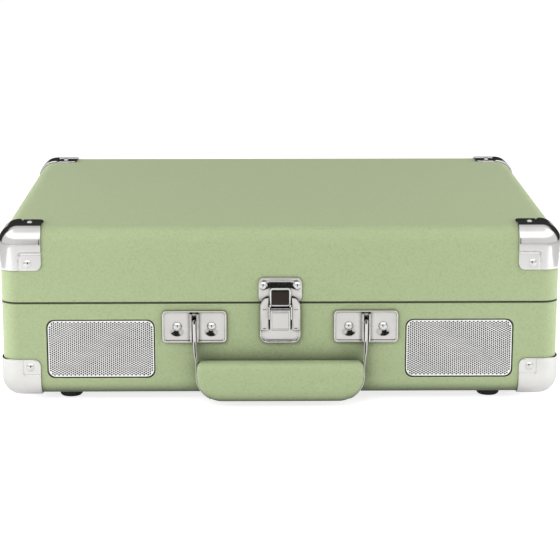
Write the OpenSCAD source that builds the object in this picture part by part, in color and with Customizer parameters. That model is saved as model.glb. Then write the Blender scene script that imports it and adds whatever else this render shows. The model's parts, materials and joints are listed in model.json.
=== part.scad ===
// Portable suitcase record player: a wooden two-part body in grained covering, chrome hardware,
// twin front speakers and a belt-driven turntable under the lid.
// Units are millimetres. X runs to the right, the front faces -Y, Z is up from the floor.

/* [Suitcase body] */
// Width of the body without hardware
width = 356; // [350:1:380]
// Depth of the body without hardware
depth = 270; // [266:1:290]
// Height of the lower half
base_height = 61.5; // [60:0.5:66]
// Height of the lid
lid_height = 48; // [46:1:60]
// Rounding radius of every outer edge
edge_radius = 11; // [10:0.5:13]
// Thickness of the wooden walls
wall = 7; // [6.5:0.25:7.5]
// Thickness of the grained covering
skin = 1; // [0.8:0.1:1.2]
// Gap between the closed halves
seam = 0.6; // [0.4:0.1:1]
// Height of the rubber feet
foot_height = 4.5; // [4:0.5:7]

/* [Front grilles] */
// Width of a speaker grille
grille_width = 68.5; // [60:0.5:72]
// Height of a speaker grille
grille_height = 38; // [34:0.5:40]
// Distance of a grille's centre from the middle of the front
grille_offset = 114.5; // [112:0.5:118]
// Distance between neighbouring grille holes
grille_pitch = 3; // [2.5:0.1:5]
// Diameter of a grille hole
grille_hole = 2; // [1:0.1:2.2]

/* [Handle] */
// Distance of each handle bracket from the middle of the front
bracket_offset = 54.7; // [50:0.1:60]
// Width of a handle bracket
bracket_width = 41.3; // [36:0.1:44]
// Height of a handle bracket
bracket_height = 21.1; // [19:0.1:23]
// How far the grip reaches in front of the body
grip_reach = 16; // [14:0.5:20]
// Height of the grip when it hangs down
grip_height = 25.5; // [22:0.5:26]

/* [Corner caps] */
// Length of a lid cap along each edge
lid_cap_leg = 27; // [24:0.5:30]
// Length of a base cap along the horizontal edges
base_cap_leg = 25; // [23:0.5:28]
// Height of a base cap
base_cap_height = 24.5; // [23:0.5:27]
// Thickness of the cap metal
cap_thickness = 0.8; // [0.6:0.1:1]

/* [Turntable] */
// Diameter of the platter
platter_diameter = 190; // [184:1:196]
// Diameter of the record spindle
spindle_diameter = 7.2; // [7:0.05:7.24]
// Distance from the tonearm pivot to the stylus
arm_length = 180; // [176:0.5:182]

/* [Hidden] */
$fn = 64;

sage = [0.67, 0.72, 0.58];
chrome = [0.82, 0.82, 0.84];
birch = [0.76, 0.62, 0.44];
black = [0.1, 0.1, 0.1];
ivory = [0.88, 0.86, 0.8];
brass = [0.78, 0.62, 0.34];
steel = [0.62, 0.63, 0.65];

// The hinge knuckles stand out behind, and the grip in front; the middle of both is y = 0.
knuckle_radius = 3;
hinge_out = knuckle_radius + 0.2;
mid = (grip_reach - hinge_out - knuckle_radius) / 2;
front = mid - depth / 2;
back = mid + depth / 2;

// Heights from the floor
body_bottom = foot_height;
seam_level = body_bottom + base_height;
body_top = seam_level + lid_height;
deck_top = seam_level - 8;
deck_thickness = 3;
deck_bottom = deck_top - deck_thickness;
floor_top = body_bottom + skin + 6;
fit_gap = 0.05;

// Inside of both halves
inner_width = width - 2 * (skin + wall);
inner_depth = depth - 2 * (skin + wall);
inner_radius = 3;

// Bottom panel and its rebate
panel_width = width - 54;
panel_depth = depth - 54;
panel_thickness = 3;
panel_lip = 6;
foot_inset = 20;
foot_radius = 8;
foot_side = width / 2 - 42;

// Corner blocks carry the deck
block_size = 18;

// Nails of the corner caps
nail_inset = 18.2;
base_nail_level = seam_level - 42;
lid_nail_level = body_top - 22.2;
nail_radius = 2.75;
nail_height = 1.3;
shank_radius = 0.7;
shank_length = 6;

// Speakers
grille_level = seam_level - 30.3;
grille_plate = 0.8;
basket_radius = 17;

// Handle
bracket_level = seam_level - 15.5;
handle_level = bracket_level + 3.5;
handle_out = 4;
handle_pin_radius = 1;
strap_thickness = 2.2;
grip_half = 52.9;
grip_bottom = 4;
grip_back = 1;

// Latch
latch_pin_level = seam_level - 3.7;
latch_pin_out = 3;
hook_pin_level = seam_level - 8.5;
hook_pin_out = 4.7;
latch_pin_radius = 0.8;
latch_nail_levels = [seam_level - 15.5, seam_level - 8.5];
hook_pin_radius = 0.7;

// Hinges
hinge_offset = 100;
hinge_width = 36;
knuckle_half = 6;
leaf_thickness = 1.2;
leaf_reach = 18;
hinge_pin_radius = 1.5;

// Turntable
platter_x = -20;
platter_y = mid - 1;
platter_bottom = deck_top + 3;
platter_top = platter_bottom + 8.5;
mat_thickness = 1.5;
mat_top = platter_top + mat_thickness;
spindle_radius = spindle_diameter / 2;
hub_radius = 3.4;
shaft_radius = 3;
drive_radius = 75;
pulley_radius = 5;
belt_thickness = 0.8;
motor_angle = 135;
motor_distance = 84;
motor_radius = 16;
motor_x = platter_x + motor_distance * cos(motor_angle);
motor_y = platter_y + motor_distance * sin(motor_angle);

// Tonearm
arm_x = 122;
arm_y = mid + 85;
arm_level = deck_top + 24;
stylus_y = arm_y - arm_length;
arm_tube_radius = 4;
arm_shaft_radius = 2.5;
lift_distance = 36;
rest_y = mid - 20;
cue_x = arm_x + 26;
cue_y = arm_y - 24;
cue_level = deck_top + 9;

// Electronics
board_x = 60;
jack_level = seam_level - 36.5;

// Controls
knob_x = -145;
volume_y = mid - 96;
function_y = mid - 62;
switch_y = mid + 70;
knob_shaft_radius = 3;
adapter_x = -141;
adapter_y = mid + 100;

// ---- 2D helpers ----

module rounded_rect(w, h, r) {
  square([w - 2 * r, h], center = true);
  square([w, h - 2 * r], center = true);
  for (sx = [-1, 1], sy = [-1, 1])
    translate([sx * (w / 2 - r), sy * (h / 2 - r)])
      circle(r = r);
}

// Profile of a wall edge: r wide and h high, with the lower outer corner rounded
module edge_profile(r, h) {
  translate([0, r])
    square([r, h - r]);
  intersection() {
    translate([0, r])
      circle(r = r);
    square([r, r]);
  }
}

module quarter_ring(r, t) {
  intersection() {
    difference() {
      circle(r = r + t);
      circle(r = r);
    }
    square([r + t, r + t]);
  }
}

// Square in the negative quadrant with its far corner rounded
module cap_leaf(a, b, r) {
  difference() {
    translate([-a, -b])
      square([a, b]);
    translate([-a, -b])
      difference() {
        square([r, r]);
        translate([r, r])
          circle(r = r);
      }
  }
}

// ---- Placement helpers: local Z points out of the face, local Y points up ----

module on_front(x, z) {
  translate([x, front, z])
    rotate([90, 0, 0])
      children();
}

module on_back(x, z) {
  translate([x, back, z])
    rotate([90, 0, 180])
      children();
}

// Copies the right front corner to all four corners
module at_four_corners() {
  translate([0, mid, 0])
    for (sx = [0, 1], sy = [0, 1])
      mirror([sx, 0, 0])
        mirror([0, sy, 0])
          children();
}

// The three outward places of a cap's nails, at the right front corner
module at_cap_nails(level, face_level, up) {
  translate([width / 2 - nail_inset, -depth / 2, level])
    rotate([90, 0, 0])
      children();
  translate([width / 2, -depth / 2 + nail_inset, level])
    rotate([90, 0, 90])
      children();
  translate([width / 2 - nail_inset, -depth / 2 + nail_inset, face_level])
    rotate([up ? 0 : 180, 0, 0])
      children();
}

// ---- 3D helpers ----

// Box with rounded upright edges and a rounded lower edge, standing on z = 0
module tub(w, d, h, r) {
  for (sx = [0, 1], sy = [0, 1])
    mirror([sx, 0, 0])
      mirror([0, sy, 0])
        translate([w / 2 - r, d / 2 - r, 0])
          rotate_extrude(angle = 90)
            edge_profile(r, h);
  for (sy = [0, 1])
    mirror([0, sy, 0])
      translate([-(w / 2 - r), d / 2 - r, 0])
        rotate([90, 0, 90])
          linear_extrude(w - 2 * r)
            edge_profile(r, h);
  for (sx = [0, 1])
    mirror([sx, 0, 0])
      translate([w / 2 - r, d / 2 - r, 0])
        rotate([90, 0, 0])
          linear_extrude(d - 2 * r)
            edge_profile(r, h);
  translate([-(w / 2 - r), -(d / 2 - r), 0])
    cube([w - 2 * r, d - 2 * r, h]);
}

module tube(outer, inner, h) {
  difference() {
    cylinder(r = outer, h = h);
    translate([0, 0, -1])
      cylinder(r = inner, h = h + 2);
  }
}

module dome(r, h) {
  ball = (r * r + h * h) / (2 * h);
  rotate_extrude()
    intersection() {
      translate([0, h - ball])
        circle(r = ball);
      square([r, h]);
    }
}

// Domed nail whose head sits on metal that stands out by seat
module nail(seat) {
  translate([0, 0, seat])
    dome(nail_radius, nail_height);
  translate([0, 0, -shank_length])
    cylinder(r = shank_radius, h = shank_length + seat, $fn = 24);
}

module nail_hole() {
  translate([0, 0, -shank_length])
    cylinder(r = shank_radius, h = shank_length + 4, $fn = 24);
}

// Pan head screw, its head on z = 0 and its shank below
module pan_screw(shank, length, head, head_height) {
  cylinder(r = head, h = head_height);
  translate([0, 0, -length])
    cylinder(r = shank, h = length);
}

// Thin metal cap around one corner, centred on the corner's rounding, with three nail holes
module corner_cap(leg, leg_z) {
  r = edge_radius;
  t = cap_thickness;
  a = leg - r;
  b = leg_z - r;
  rotate_extrude(angle = 90)
    quarter_ring(r, t);
  translate([0, 0, -b])
    linear_extrude(b)
      quarter_ring(r, t);
  rotate([90, 0, 0])
    linear_extrude(a)
      quarter_ring(r, t);
  translate([-a, 0, 0])
    rotate([90, 0, 90])
      linear_extrude(a)
        quarter_ring(r, t);
  translate([r, 0, 0])
    rotate([90, 0, 90])
      linear_extrude(t)
        cap_leaf(a, b, 4.5);
  translate([0, r + t, 0])
    rotate([90, 0, 0])
      linear_extrude(t)
        cap_leaf(a, b, 4.5);
  translate([0, 0, r])
    linear_extrude(t)
      cap_leaf(a, a, 4.5);
}

// The four caps of one half, upright for the lid and turned over for the base
module placed_caps(leg, leg_z, level, up) {
  r = edge_radius;
  for (sx = [0, 1], sy = [0, 1])
    translate([0, mid, 0])
      mirror([sx, 0, 0])
        mirror([0, sy, 0])
          translate([width / 2 - r, depth / 2 - r, level])
            mirror([0, 0, up ? 0 : 1])
              corner_cap(leg, leg_z);
}

// ---- Holes that the base and its covering share ----

module base_nail_holes() {
  at_four_corners()
    at_cap_nails(base_nail_level, body_bottom, false)
      nail_hole();
  for (s = [-1, 1], n = [-1, 1])
    on_front(s * bracket_offset + n * 10.9, bracket_level)
      nail_hole();
  for (z = latch_nail_levels)
    on_front(0, z)
      nail_hole();
}

module lid_nail_holes() {
  at_four_corners()
    at_cap_nails(lid_nail_level, body_top, true)
      nail_hole();
  for (s = [-1, 1])
    on_front(s * 10.9, seam_level + 11.2)
      nail_hole();
}

module at_hinge_screws(z) {
  for (s = [-1, 1], n = [-1, 1])
    on_back(s * hinge_offset + n * 11, z)
      children();
}

module at_deck_screws() {
  at_four_corners()
    translate([inner_width / 2 - block_size / 2, inner_depth / 2 - block_size / 2, 0])
      children();
}

module at_panel_screws() {
  inset = panel_lip / 2;
  for (x = [-1, 0, 1], y = [-1, 1])
    translate([x * (panel_width / 2 - inset), mid + y * (panel_depth / 2 - inset), body_bottom])
      rotate([180, 0, 0])
        children();
}

module at_feet() {
  for (sx = [-1, 1], sy = [-1, 1])
    translate([sx * foot_side, mid + sy * (depth / 2 - foot_inset), 0])
      children();
}

// ---- Base ----

module base_frame() {
  rim = seam_level - seam / 2 - skin;
  color(birch)
    difference() {
      translate([0, mid, body_bottom + skin])
        tub(width - 2 * skin, depth - 2 * skin, rim - body_bottom - skin, edge_radius - skin);
      translate([0, mid, floor_top])
        linear_extrude(rim)
          rounded_rect(inner_width, inner_depth, inner_radius);
      translate([0, mid, 0])
        linear_extrude(body_bottom + panel_thickness)
          rounded_rect(panel_width, panel_depth, 4);
      translate([0, mid, 0])
        linear_extrude(floor_top + 1)
          rounded_rect(panel_width - 2 * panel_lip, panel_depth - 2 * panel_lip, 4);
      for (s = [-1, 1])
        on_front(s * grille_offset, grille_level)
          translate([0, 0, -wall - skin - 1])
            linear_extrude(wall + 2)
              rounded_rect(grille_width - 6.5, grille_height - 6, 8);
      on_back(board_x, jack_level)
        translate([0, 0, -wall - skin - 1])
          linear_extrude(wall + 3)
            rounded_rect(86, 20, 3);
      base_nail_holes();
      at_hinge_screws(seam_level - 12)
        nail_hole();
      at_panel_screws()
        translate([0, 0, -7])
          cylinder(r = 1.2, h = 8);
      at_feet()
        translate([0, 0, body_bottom])
          cylinder(r = 1.5, h = 6);
    }
}

module base_covering() {
  rim = seam_level - seam / 2;
  color(sage)
    difference() {
      translate([0, mid, body_bottom])
        tub(width, depth, rim - body_bottom, edge_radius);
      translate([0, mid, body_bottom + skin])
        tub(width - 2 * skin, depth - 2 * skin, rim - body_bottom - 2 * skin, edge_radius - skin);
      translate([0, mid, rim - skin - 1])
        linear_extrude(skin + 2)
          rounded_rect(inner_width, inner_depth, inner_radius);
      translate([0, mid, 0])
        linear_extrude(body_bottom + skin + 1)
          rounded_rect(panel_width, panel_depth, 4);
      for (s = [-1, 1])
        on_front(s * grille_offset, grille_level)
          translate([0, 0, -skin - 1])
            linear_extrude(skin + 2)
              rounded_rect(grille_width + 0.8, grille_height + 0.8, 5.1);
      on_back(board_x, jack_level)
        translate([0, 0, -skin - 1])
          linear_extrude(skin + 2)
            rounded_rect(86, 20, 3);
      base_nail_holes();
      at_hinge_screws(seam_level - 12)
        nail_hole();
      at_feet()
        translate([0, 0, body_bottom - 1])
          cylinder(r = 1.5, h = 4);
    }
}

module bottom_panel() {
  color(black)
    difference() {
      translate([0, mid, body_bottom])
        linear_extrude(panel_thickness)
          difference() {
            rounded_rect(panel_width - 0.4, panel_depth - 0.4, 4);
            for (x = [-60, 60], i = [-3:3])
              translate([x, i * 9])
                rounded_rect(56, 3, 1.4);
          }
      at_panel_screws()
        translate([0, 0, -4])
          cylinder(r = 1.2, h = 5);
    }
}

module panel_screws() {
  color(steel)
    at_panel_screws()
      pan_screw(1.2, 6.5, 2.8, 1.4);
}

module rubber_feet() {
  color(black)
    at_feet()
      difference() {
        rotate_extrude()
          polygon([[0, 0], [foot_radius - 1.6, 0], [foot_radius - 0.8, 0.8],
                   [foot_radius, body_bottom], [0, body_bottom]]);
        translate([0, 0, -1])
          cylinder(r = 3.6, h = 4);
        cylinder(r = 1.5, h = body_bottom + 1);
      }
}

module foot_screws() {
  color(steel)
    at_feet()
      translate([0, 0, 3])
        mirror([0, 0, 1])
          pan_screw(1.5, body_bottom + 2, 3.2, 1.6);
}

module base_corner_caps() {
  color(chrome)
    difference() {
      placed_caps(base_cap_leg, base_cap_height, body_bottom + edge_radius, false);
      base_nail_holes();
    }
}

module base_nails() {
  color(chrome) {
    at_four_corners()
      at_cap_nails(base_nail_level, body_bottom, false)
        nail(cap_thickness);
    for (s = [-1, 1], n = [-1, 1])
      on_front(s * bracket_offset + n * 10.9, bracket_level)
        nail(0.8);
    for (z = latch_nail_levels)
      on_front(0, z)
        nail(1);
  }
}

// Perforated plate that sits in the opening of the covering
module speaker_grille(side) {
  columns = floor((grille_width / 2 - 3) / (grille_pitch * 0.866));
  rows = floor((grille_height / 2 - 3) / grille_pitch);
  color(chrome)
    on_front(side * grille_offset, grille_level)
      translate([0, 0, -skin])
        linear_extrude(grille_plate)
          difference() {
            rounded_rect(grille_width, grille_height, 4.7);
            for (i = [-columns:columns], j = [-rows:rows])
              translate([i * grille_pitch * 0.866, (j + (abs(i) % 2) / 2) * grille_pitch])
                circle(d = grille_hole, $fn = 16);
          }
}

module speaker_grille_left() {
  speaker_grille(-1);
}

module speaker_grille_right() {
  speaker_grille(1);
}

// Racetrack frame, round basket and magnet of each speaker, behind the front wall
module speaker_baskets() {
  inside = -(skin + wall);
  color(steel)
    for (s = [-1, 1])
      on_front(s * grille_offset, grille_level)
        translate([0, 0, inside])
          mirror([0, 0, 1]) {
            linear_extrude(1.5)
              difference() {
                rounded_rect(grille_width, grille_height, 10);
                circle(r = basket_radius - 1.5);
              }
            translate([0, 0, 1.5])
              tube(basket_radius, basket_radius - 1.5, 12);
            translate([0, 0, 13.5])
              cylinder(r = basket_radius, h = 1.5);
            translate([0, 0, 15])
              cylinder(r = basket_radius - 1, h = 11);
          }
}

module speaker_cones() {
  inside = -(skin + wall);
  color(black)
    for (s = [-1, 1])
      on_front(s * grille_offset, grille_level)
        translate([0, 0, inside])
          mirror([0, 0, 1])
            rotate_extrude()
              polygon([[0, 5], [4, 6], [6, 8], [basket_radius - 3, 1], [basket_radius - 1.6, 0.4],
                       [basket_radius - 1.6, 1.4], [basket_radius - 3, 2], [6, 9.2], [0, 9.2]]);
}

module corner_blocks() {
  color(birch)
    at_deck_screws()
      difference() {
        translate([-block_size / 2, -block_size / 2, floor_top])
          cube([block_size - inner_radius, block_size - inner_radius, deck_bottom - floor_top]);
        translate([0, 0, deck_bottom - 16])
          cylinder(r = 1.5, h = 20);
      }
}

module deck_plate() {
  color(ivory)
    difference() {
      translate([0, mid, deck_bottom])
        linear_extrude(deck_thickness)
          rounded_rect(inner_width - 0.6, inner_depth - 0.6, inner_radius);
      at_deck_screws()
        translate([0, 0, deck_bottom - 1])
          cylinder(r = 1.8, h = 5);
      translate([platter_x, platter_y, deck_bottom - 1])
        cylinder(r = 7, h = 5);
      translate([motor_x, motor_y, deck_bottom - 1])
        cylinder(r = 7, h = 5);
      for (n = [-1, 1])
        translate([motor_x + n * 13, motor_y, deck_bottom - 1])
          cylinder(r = 1.6, h = 5);
      for (y = [volume_y, function_y])
        translate([knob_x, y, deck_bottom - 1])
          cylinder(r = 3.7, h = 5);
      translate([knob_x, switch_y, deck_bottom - 1])
        linear_extrude(5)
          rounded_rect(3.4, 17, 1.2);
      translate([arm_x, arm_y, deck_bottom - 1])
        cylinder(r = 9, h = 5);
      translate([adapter_x, adapter_y, deck_top - 1.5])
        cylinder(r = 19.6, h = 3);
      translate([arm_x, rest_y, deck_bottom - 1])
        cylinder(r = 3, h = 5);
    }
}

module deck_screws() {
  color(steel) {
    at_deck_screws()
      translate([0, 0, deck_top])
        pan_screw(1.5, 15, 3.2, 1.8);
    for (n = [-1, 1])
      translate([motor_x + n * 13, motor_y, deck_top])
        pan_screw(1.5, 7, 2.8, 1.2);
  }
}

// Flanged bush that carries the platter shaft, closed at its lower end
module platter_bearing() {
  color(brass)
    translate([platter_x, platter_y, 0])
      difference() {
        union() {
          translate([0, 0, deck_top])
            cylinder(r = 12, h = 1.6);
          translate([0, 0, deck_top - 20])
            cylinder(r = 6.8, h = 20);
        }
        translate([0, 0, deck_top - 18])
          cylinder(r = shaft_radius + fit_gap, h = 25);
      }
}

module drive_motor() {
  color(steel)
    translate([motor_x, motor_y, 0])
      difference() {
        union() {
          translate([0, 0, deck_bottom - 27])
            cylinder(r = motor_radius, h = 26);
          translate([0, 0, deck_bottom - 1])
            cylinder(r = motor_radius + 1, h = 1);
          translate([0, 0, deck_bottom])
            cylinder(r = 4, h = 2);
        }
        translate([0, 0, deck_bottom - 20])
          cylinder(r = 1 + fit_gap, h = 30);
        for (n = [-1, 1])
          translate([n * 13, 0, deck_bottom - 4.1])
            cylinder(r = 1.5, h = 5);
      }
}

module circuit_board() {
  level = floor_top + 6;
  color("darkgreen")
    translate([board_x, mid + 70, level])
      difference() {
        union() {
          linear_extrude(1.6)
            rounded_rect(88, 56, 2);
          translate([-30, -18, 1.6])
            cube([22, 12, 8]);
          translate([2, -4, 1.6])
            cube([14, 14, 3]);
          for (i = [0:3])
            translate([-30 + i * 12, 14, 1.6])
              cylinder(r = 3.6, h = 11);
          translate([24, -20, 1.6])
            cube([5, 24, 14]);
        }
        for (sx = [-1, 1], sy = [-1, 1])
          translate([sx * 40, sy * 24, -1])
            cylinder(r = 1.2, h = 4);
      }
}

module board_posts() {
  post_bottom = body_bottom + panel_thickness;
  color(ivory)
    for (sx = [-1, 1], sy = [-1, 1])
      translate([board_x + sx * 40, mid + 70 + sy * 24, post_bottom]) {
        cylinder(r = 3, h = floor_top + 6 - post_bottom);
        cylinder(r = 1.15, h = floor_top + 8.4 - post_bottom);
      }
}

module potentiometers() {
  color(steel)
    for (y = [volume_y, function_y])
      translate([knob_x, y, 0])
        difference() {
          union() {
            translate([-8, -8, deck_bottom - 9])
              cube([16, 16, 9]);
            translate([0, 0, deck_bottom])
              cylinder(r = 3.65, h = 3);
          }
          translate([0, 0, deck_bottom - 5])
            cylinder(r = knob_shaft_radius + fit_gap, h = 10);
        }
}

module slide_switches() {
  color(steel)
    translate([knob_x, switch_y, deck_bottom - 8])
      difference() {
        translate([-5, -14, 0])
          cube([10, 28, 8]);
        translate([-1.6, -9, 4])
          cube([3.2, 18, 5]);
      }
}

module rear_jack_panel() {
  color(black)
    on_back(board_x, jack_level)
      difference() {
        linear_extrude(1.2)
          rounded_rect(94, 26, 3);
        for (i = [-1.5:1.5])
          translate([i * 20, 0, -1])
            cylinder(r = 4.2, h = 4);
      }
}

// Two line outputs, one input and one power socket
module rear_jacks() {
  color(chrome)
    on_back(board_x, jack_level)
      for (i = [-1.5:1.5])
        translate([i * 20, 0, -10])
          difference() {
            cylinder(r = 4.15, h = 13);
            translate([0, 0, 3])
              cylinder(r = i < 0 ? 1.6 : 2.8, h = 12);
          }
}

module tonearm_base() {
  color(ivory) {
    translate([arm_x, arm_y, 0])
      difference() {
        union() {
          translate([0, 0, deck_top])
            cylinder(r = 21, h = 5);
          translate([0, 0, deck_top + 5])
            cylinder(r = 9, h = 7);
          translate([0, 0, deck_bottom - 8])
            cylinder(r = 6, h = 12);
        }
        translate([0, 0, deck_bottom - 9])
          cylinder(r = arm_shaft_radius + fit_gap, h = 40);
        translate([0, -16, deck_top - 1])
          cylinder(r = 2 + fit_gap, h = 12);
      }
    // Bracket that carries the cue lever
    difference() {
      union() {
        translate([cue_x - 7, cue_y - 4, deck_top])
          cube([3, 8, 9]);
        translate([cue_x - 7, cue_y, cue_level])
          rotate([0, 90, 0])
            cylinder(r = 4, h = 3);
        translate([arm_x + 14, cue_y - 4, deck_top])
          cube([cue_x - arm_x - 18, 16, 3]);
      }
      translate([cue_x - 9, cue_y, cue_level])
        rotate([0, 90, 0])
          cylinder(r = 1.5 + fit_gap, h = 8);
    }
  }
}

// Post beside the arm, with a seat under the tube and a wall that carries the clip
module arm_rest() {
  seat = arm_level - arm_tube_radius - 0.3;
  color(ivory)
    translate([arm_x, rest_y, 0])
      difference() {
        union() {
          translate([0, 0, deck_top])
            cylinder(r = 6, h = 2);
          translate([0, 0, deck_bottom])
            cylinder(r = 2.9, h = 3);
          translate([0, 0, deck_top + 2])
            cylinder(r = 4, h = seat - deck_top - 5);
          translate([-5, -4, seat - 3])
            cube([17, 8, 3]);
          translate([9, -4, seat])
            cube([3, 8, 7]);
        }
        translate([10.5, 5, seat + 5])
          rotate([90, 0, 0])
            cylinder(r = 0.8 + fit_gap, h = 10, $fn = 32);
      }
}

// ---- Handle hardware ----

// Tray with a raised rim and a slotted housing for the strap's eye
module handle_bracket() {
  eye = handle_level - bracket_level;
  difference() {
    union() {
      difference() {
        linear_extrude(1.5)
          rounded_rect(bracket_width, bracket_height, 2.7);
        translate([0, 0, 0.8])
          linear_extrude(2)
            rounded_rect(bracket_width - 2, bracket_height - 2, 1.8);
      }
      translate([0, bracket_height / 2 - 1, 0])
        rotate([90, 0, 0])
          linear_extrude(bracket_height - 2) {
            translate([-2.9, 0])
              square([5.8, handle_out]);
            translate([0, handle_out])
              circle(r = 2.9);
          }
    }
    translate([-1.4, -bracket_height / 2 - 1, 1])
      cube([2.8, bracket_height - 1.3, 8]);
    translate([-4, eye, handle_out])
      rotate([0, 90, 0])
        cylinder(r = handle_pin_radius, h = 8);
    for (n = [-1, 1])
      translate([n * 10.9, 0, -1])
        cylinder(r = shank_radius, h = 4, $fn = 24);
  }
}

module handle_brackets() {
  color(chrome)
    for (s = [-1, 1])
      on_front(s * bracket_offset, bracket_level)
        handle_bracket();
}

// The two pivots of the handle and the pivot of the latch lever
module front_pins() {
  color(steel) {
    for (s = [-1, 1])
      translate([s * bracket_offset - 2.5, front - handle_out, handle_level])
        rotate([0, 90, 0])
          cylinder(r = handle_pin_radius, h = 5);
    on_front(-11, latch_pin_level)
      translate([0, 0, latch_pin_out])
        rotate([0, 90, 0])
          cylinder(r = latch_pin_radius, h = 22);
  }
}

// Steel straps at both ends, joined by a core bar inside the grip
module handle_frame() {
  top = grip_bottom + grip_height;
  join = top + 4;
  core_bottom = grip_bottom + 6;
  core_height = grip_height - 11;
  color(chrome) {
    for (s = [0, 1])
      mirror([s, 0, 0]) {
        difference() {
          translate([bracket_offset - strap_thickness / 2, front - handle_out, handle_level])
            rotate([0, 90, 0])
              linear_extrude(strap_thickness) {
                circle(r = 2.4);
                translate([0, -2.2])
                  square([handle_level - join, 4.4]);
              }
          translate([bracket_offset - 4, front - handle_out, handle_level])
            rotate([0, 90, 0])
              cylinder(r = handle_pin_radius + fit_gap, h = 8);
        }
        translate([grip_half, front, 0])
          rotate([90, 0, 90])
            linear_extrude(1.4)
              polygon([[-1.8, join + 4], [-handle_out - 2.2, join + 4], [-handle_out - 2.2, join],
                       [-12.5, top - 2], [-12.5, grip_bottom + 8], [-10.5, grip_bottom + 5.5],
                       [-6, grip_bottom + 5.5], [-4.5, grip_bottom + 8], [-4.5, top - 2],
                       [-1.8, join]]);
      }
    translate([-grip_half, front - 10.5, core_bottom])
      cube([2 * grip_half, 4, core_height]);
  }
}

module handle_grip() {
  core_bottom = grip_bottom + 6;
  core_height = grip_height - 11;
  big = 16;
  nose = 6;
  color(sage)
    difference() {
      intersection() {
        translate([0, front, grip_bottom])
          rotate([90, 0, 0])
            linear_extrude(grip_reach + 2)
              union() {
                translate([-grip_half + big, 0])
                  square([2 * (grip_half - big), grip_height]);
                for (s = [0, 1])
                  mirror([s, 0])
                    translate([grip_half - big, big]) {
                      square([big, grip_height - big]);
                      intersection() {
                        circle(r = big);
                        translate([0, -big])
                          square([big, big]);
                      }
                    }
              }
        translate([-grip_half, front - grip_reach, grip_bottom])
          rotate([90, 0, 90])
            linear_extrude(2 * grip_half)
              difference() {
                square([grip_reach - grip_back, grip_height]);
                difference() {
                  square([nose, nose]);
                  translate([nose, nose])
                    circle(r = nose);
                }
                translate([0, grip_height - nose])
                  difference() {
                    square([nose, nose]);
                    translate([nose, 0])
                      circle(r = nose);
                  }
              }
      }
      translate([-grip_half, front - 10.5, core_bottom])
        cube([2 * grip_half, 4, core_height]);
    }
}

// ---- Latch ----

// Base half of the latch: a plate with a raised flat on each side of the lever
module latch_body() {
  low = seam_level - 26;
  color(chrome)
    difference() {
      union() {
        on_front(0, (low + seam_level - seam) / 2)
          linear_extrude(1)
            rounded_rect(26.2, seam_level - seam - low, 4);
        for (s = [0, 1])
          mirror([s, 0, 0])
            on_front(0, 0)
              translate([0, 0, 1]) {
                translate([7.7, low + 6.5, 0])
                  cube([4.9, seam_level - low - 6.5 - seam, 3]);
                translate([0, 0, 0.2])
                  linear_extrude(2.8)
                    translate([7.7, seam_level - seam - 1])
                      difference() {
                        square([4.9, 5.5]);
                        translate([0, 0.6])
                          difference() {
                            square([4.9, 4.9]);
                            circle(r = 4.9);
                          }
                      }
              }
      }
      on_front(-15, latch_pin_level)
        translate([0, 0, latch_pin_out])
          rotate([0, 90, 0])
            cylinder(r = latch_pin_radius, h = 30);
      for (z = latch_nail_levels)
        on_front(0, z)
          nail_hole();
    }
}

// Flap that is pulled up to open, with two eyes on the pin and two stubs for the hook
module latch_lever() {
  top = latch_pin_level + 1.2;
  color(chrome)
    difference() {
      union() {
        on_front(0, top - 7.5)
          translate([0, 0, 4.9])
            linear_extrude(1.1)
              rounded_rect(12.8, 15, 1.2);
        for (s = [0, 1])
          mirror([s, 0, 0])
            on_front(0, 0) {
              translate([5.2, latch_pin_level, latch_pin_out])
                rotate([0, 90, 0])
                  cylinder(r = 1.6, h = 1.2);
              translate([5.2, latch_pin_level - 1, latch_pin_out])
                cube([1.2, 2, 2]);
              translate([5.2, hook_pin_level - 1.2, latch_pin_out])
                cube([1.2, 2.4, 2]);
              translate([5.2, hook_pin_level, hook_pin_out])
                rotate([0, 90, 0])
                  cylinder(r = hook_pin_radius, h = 2.3);
            }
      }
      on_front(-10, latch_pin_level)
        translate([0, 0, latch_pin_out])
          rotate([0, 90, 0])
            cylinder(r = latch_pin_radius + fit_gap, h = 20);
    }
}

// Window plate that sits over the strike's keeper, on two side arms
module latch_hook() {
  plate_bottom = seam_level - 1.8;
  plate_out = 2.4;
  color(chrome) {
    on_front(0, plate_bottom + 5.9)
      translate([0, 0, plate_out])
        linear_extrude(1.2)
          difference() {
            rounded_rect(13.4, 11.8, 1.4);
            translate([0, -0.2])
              rounded_rect(8.8, 6.8, 0.8);
          }
    for (s = [0, 1])
      mirror([s, 0, 0])
        difference() {
          on_front(0, 0) {
            translate([6.6, hook_pin_level, 4.1])
              cube([0.9, plate_bottom - hook_pin_level, 1.3]);
            translate([6.6, hook_pin_level, hook_pin_out])
              rotate([0, 90, 0])
                cylinder(r = 1.3, h = 0.9);
            translate([5.6, plate_bottom, plate_out])
              cube([1.9, 1.4, 3]);
          }
          on_front(5, hook_pin_level)
            translate([0, 0, hook_pin_out])
              rotate([0, 90, 0])
                cylinder(r = hook_pin_radius + fit_gap, h = 4);
        }
  }
}

module latch_strike() {
  low = seam_level + seam;
  high = seam_level + 16.5;
  color(chrome)
    difference() {
      union() {
        on_front(0, (low + high) / 2)
          linear_extrude(1)
            rounded_rect(27.6, high - low, 2.7);
        on_front(0, seam_level + 4.3)
          translate([0, 0, 1])
            linear_extrude(2)
              rounded_rect(7, 2.8, 0.8);
      }
      for (s = [-1, 1])
        on_front(s * 10.9, seam_level + 11.2)
          nail_hole();
    }
}

// ---- Hinges ----

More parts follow.
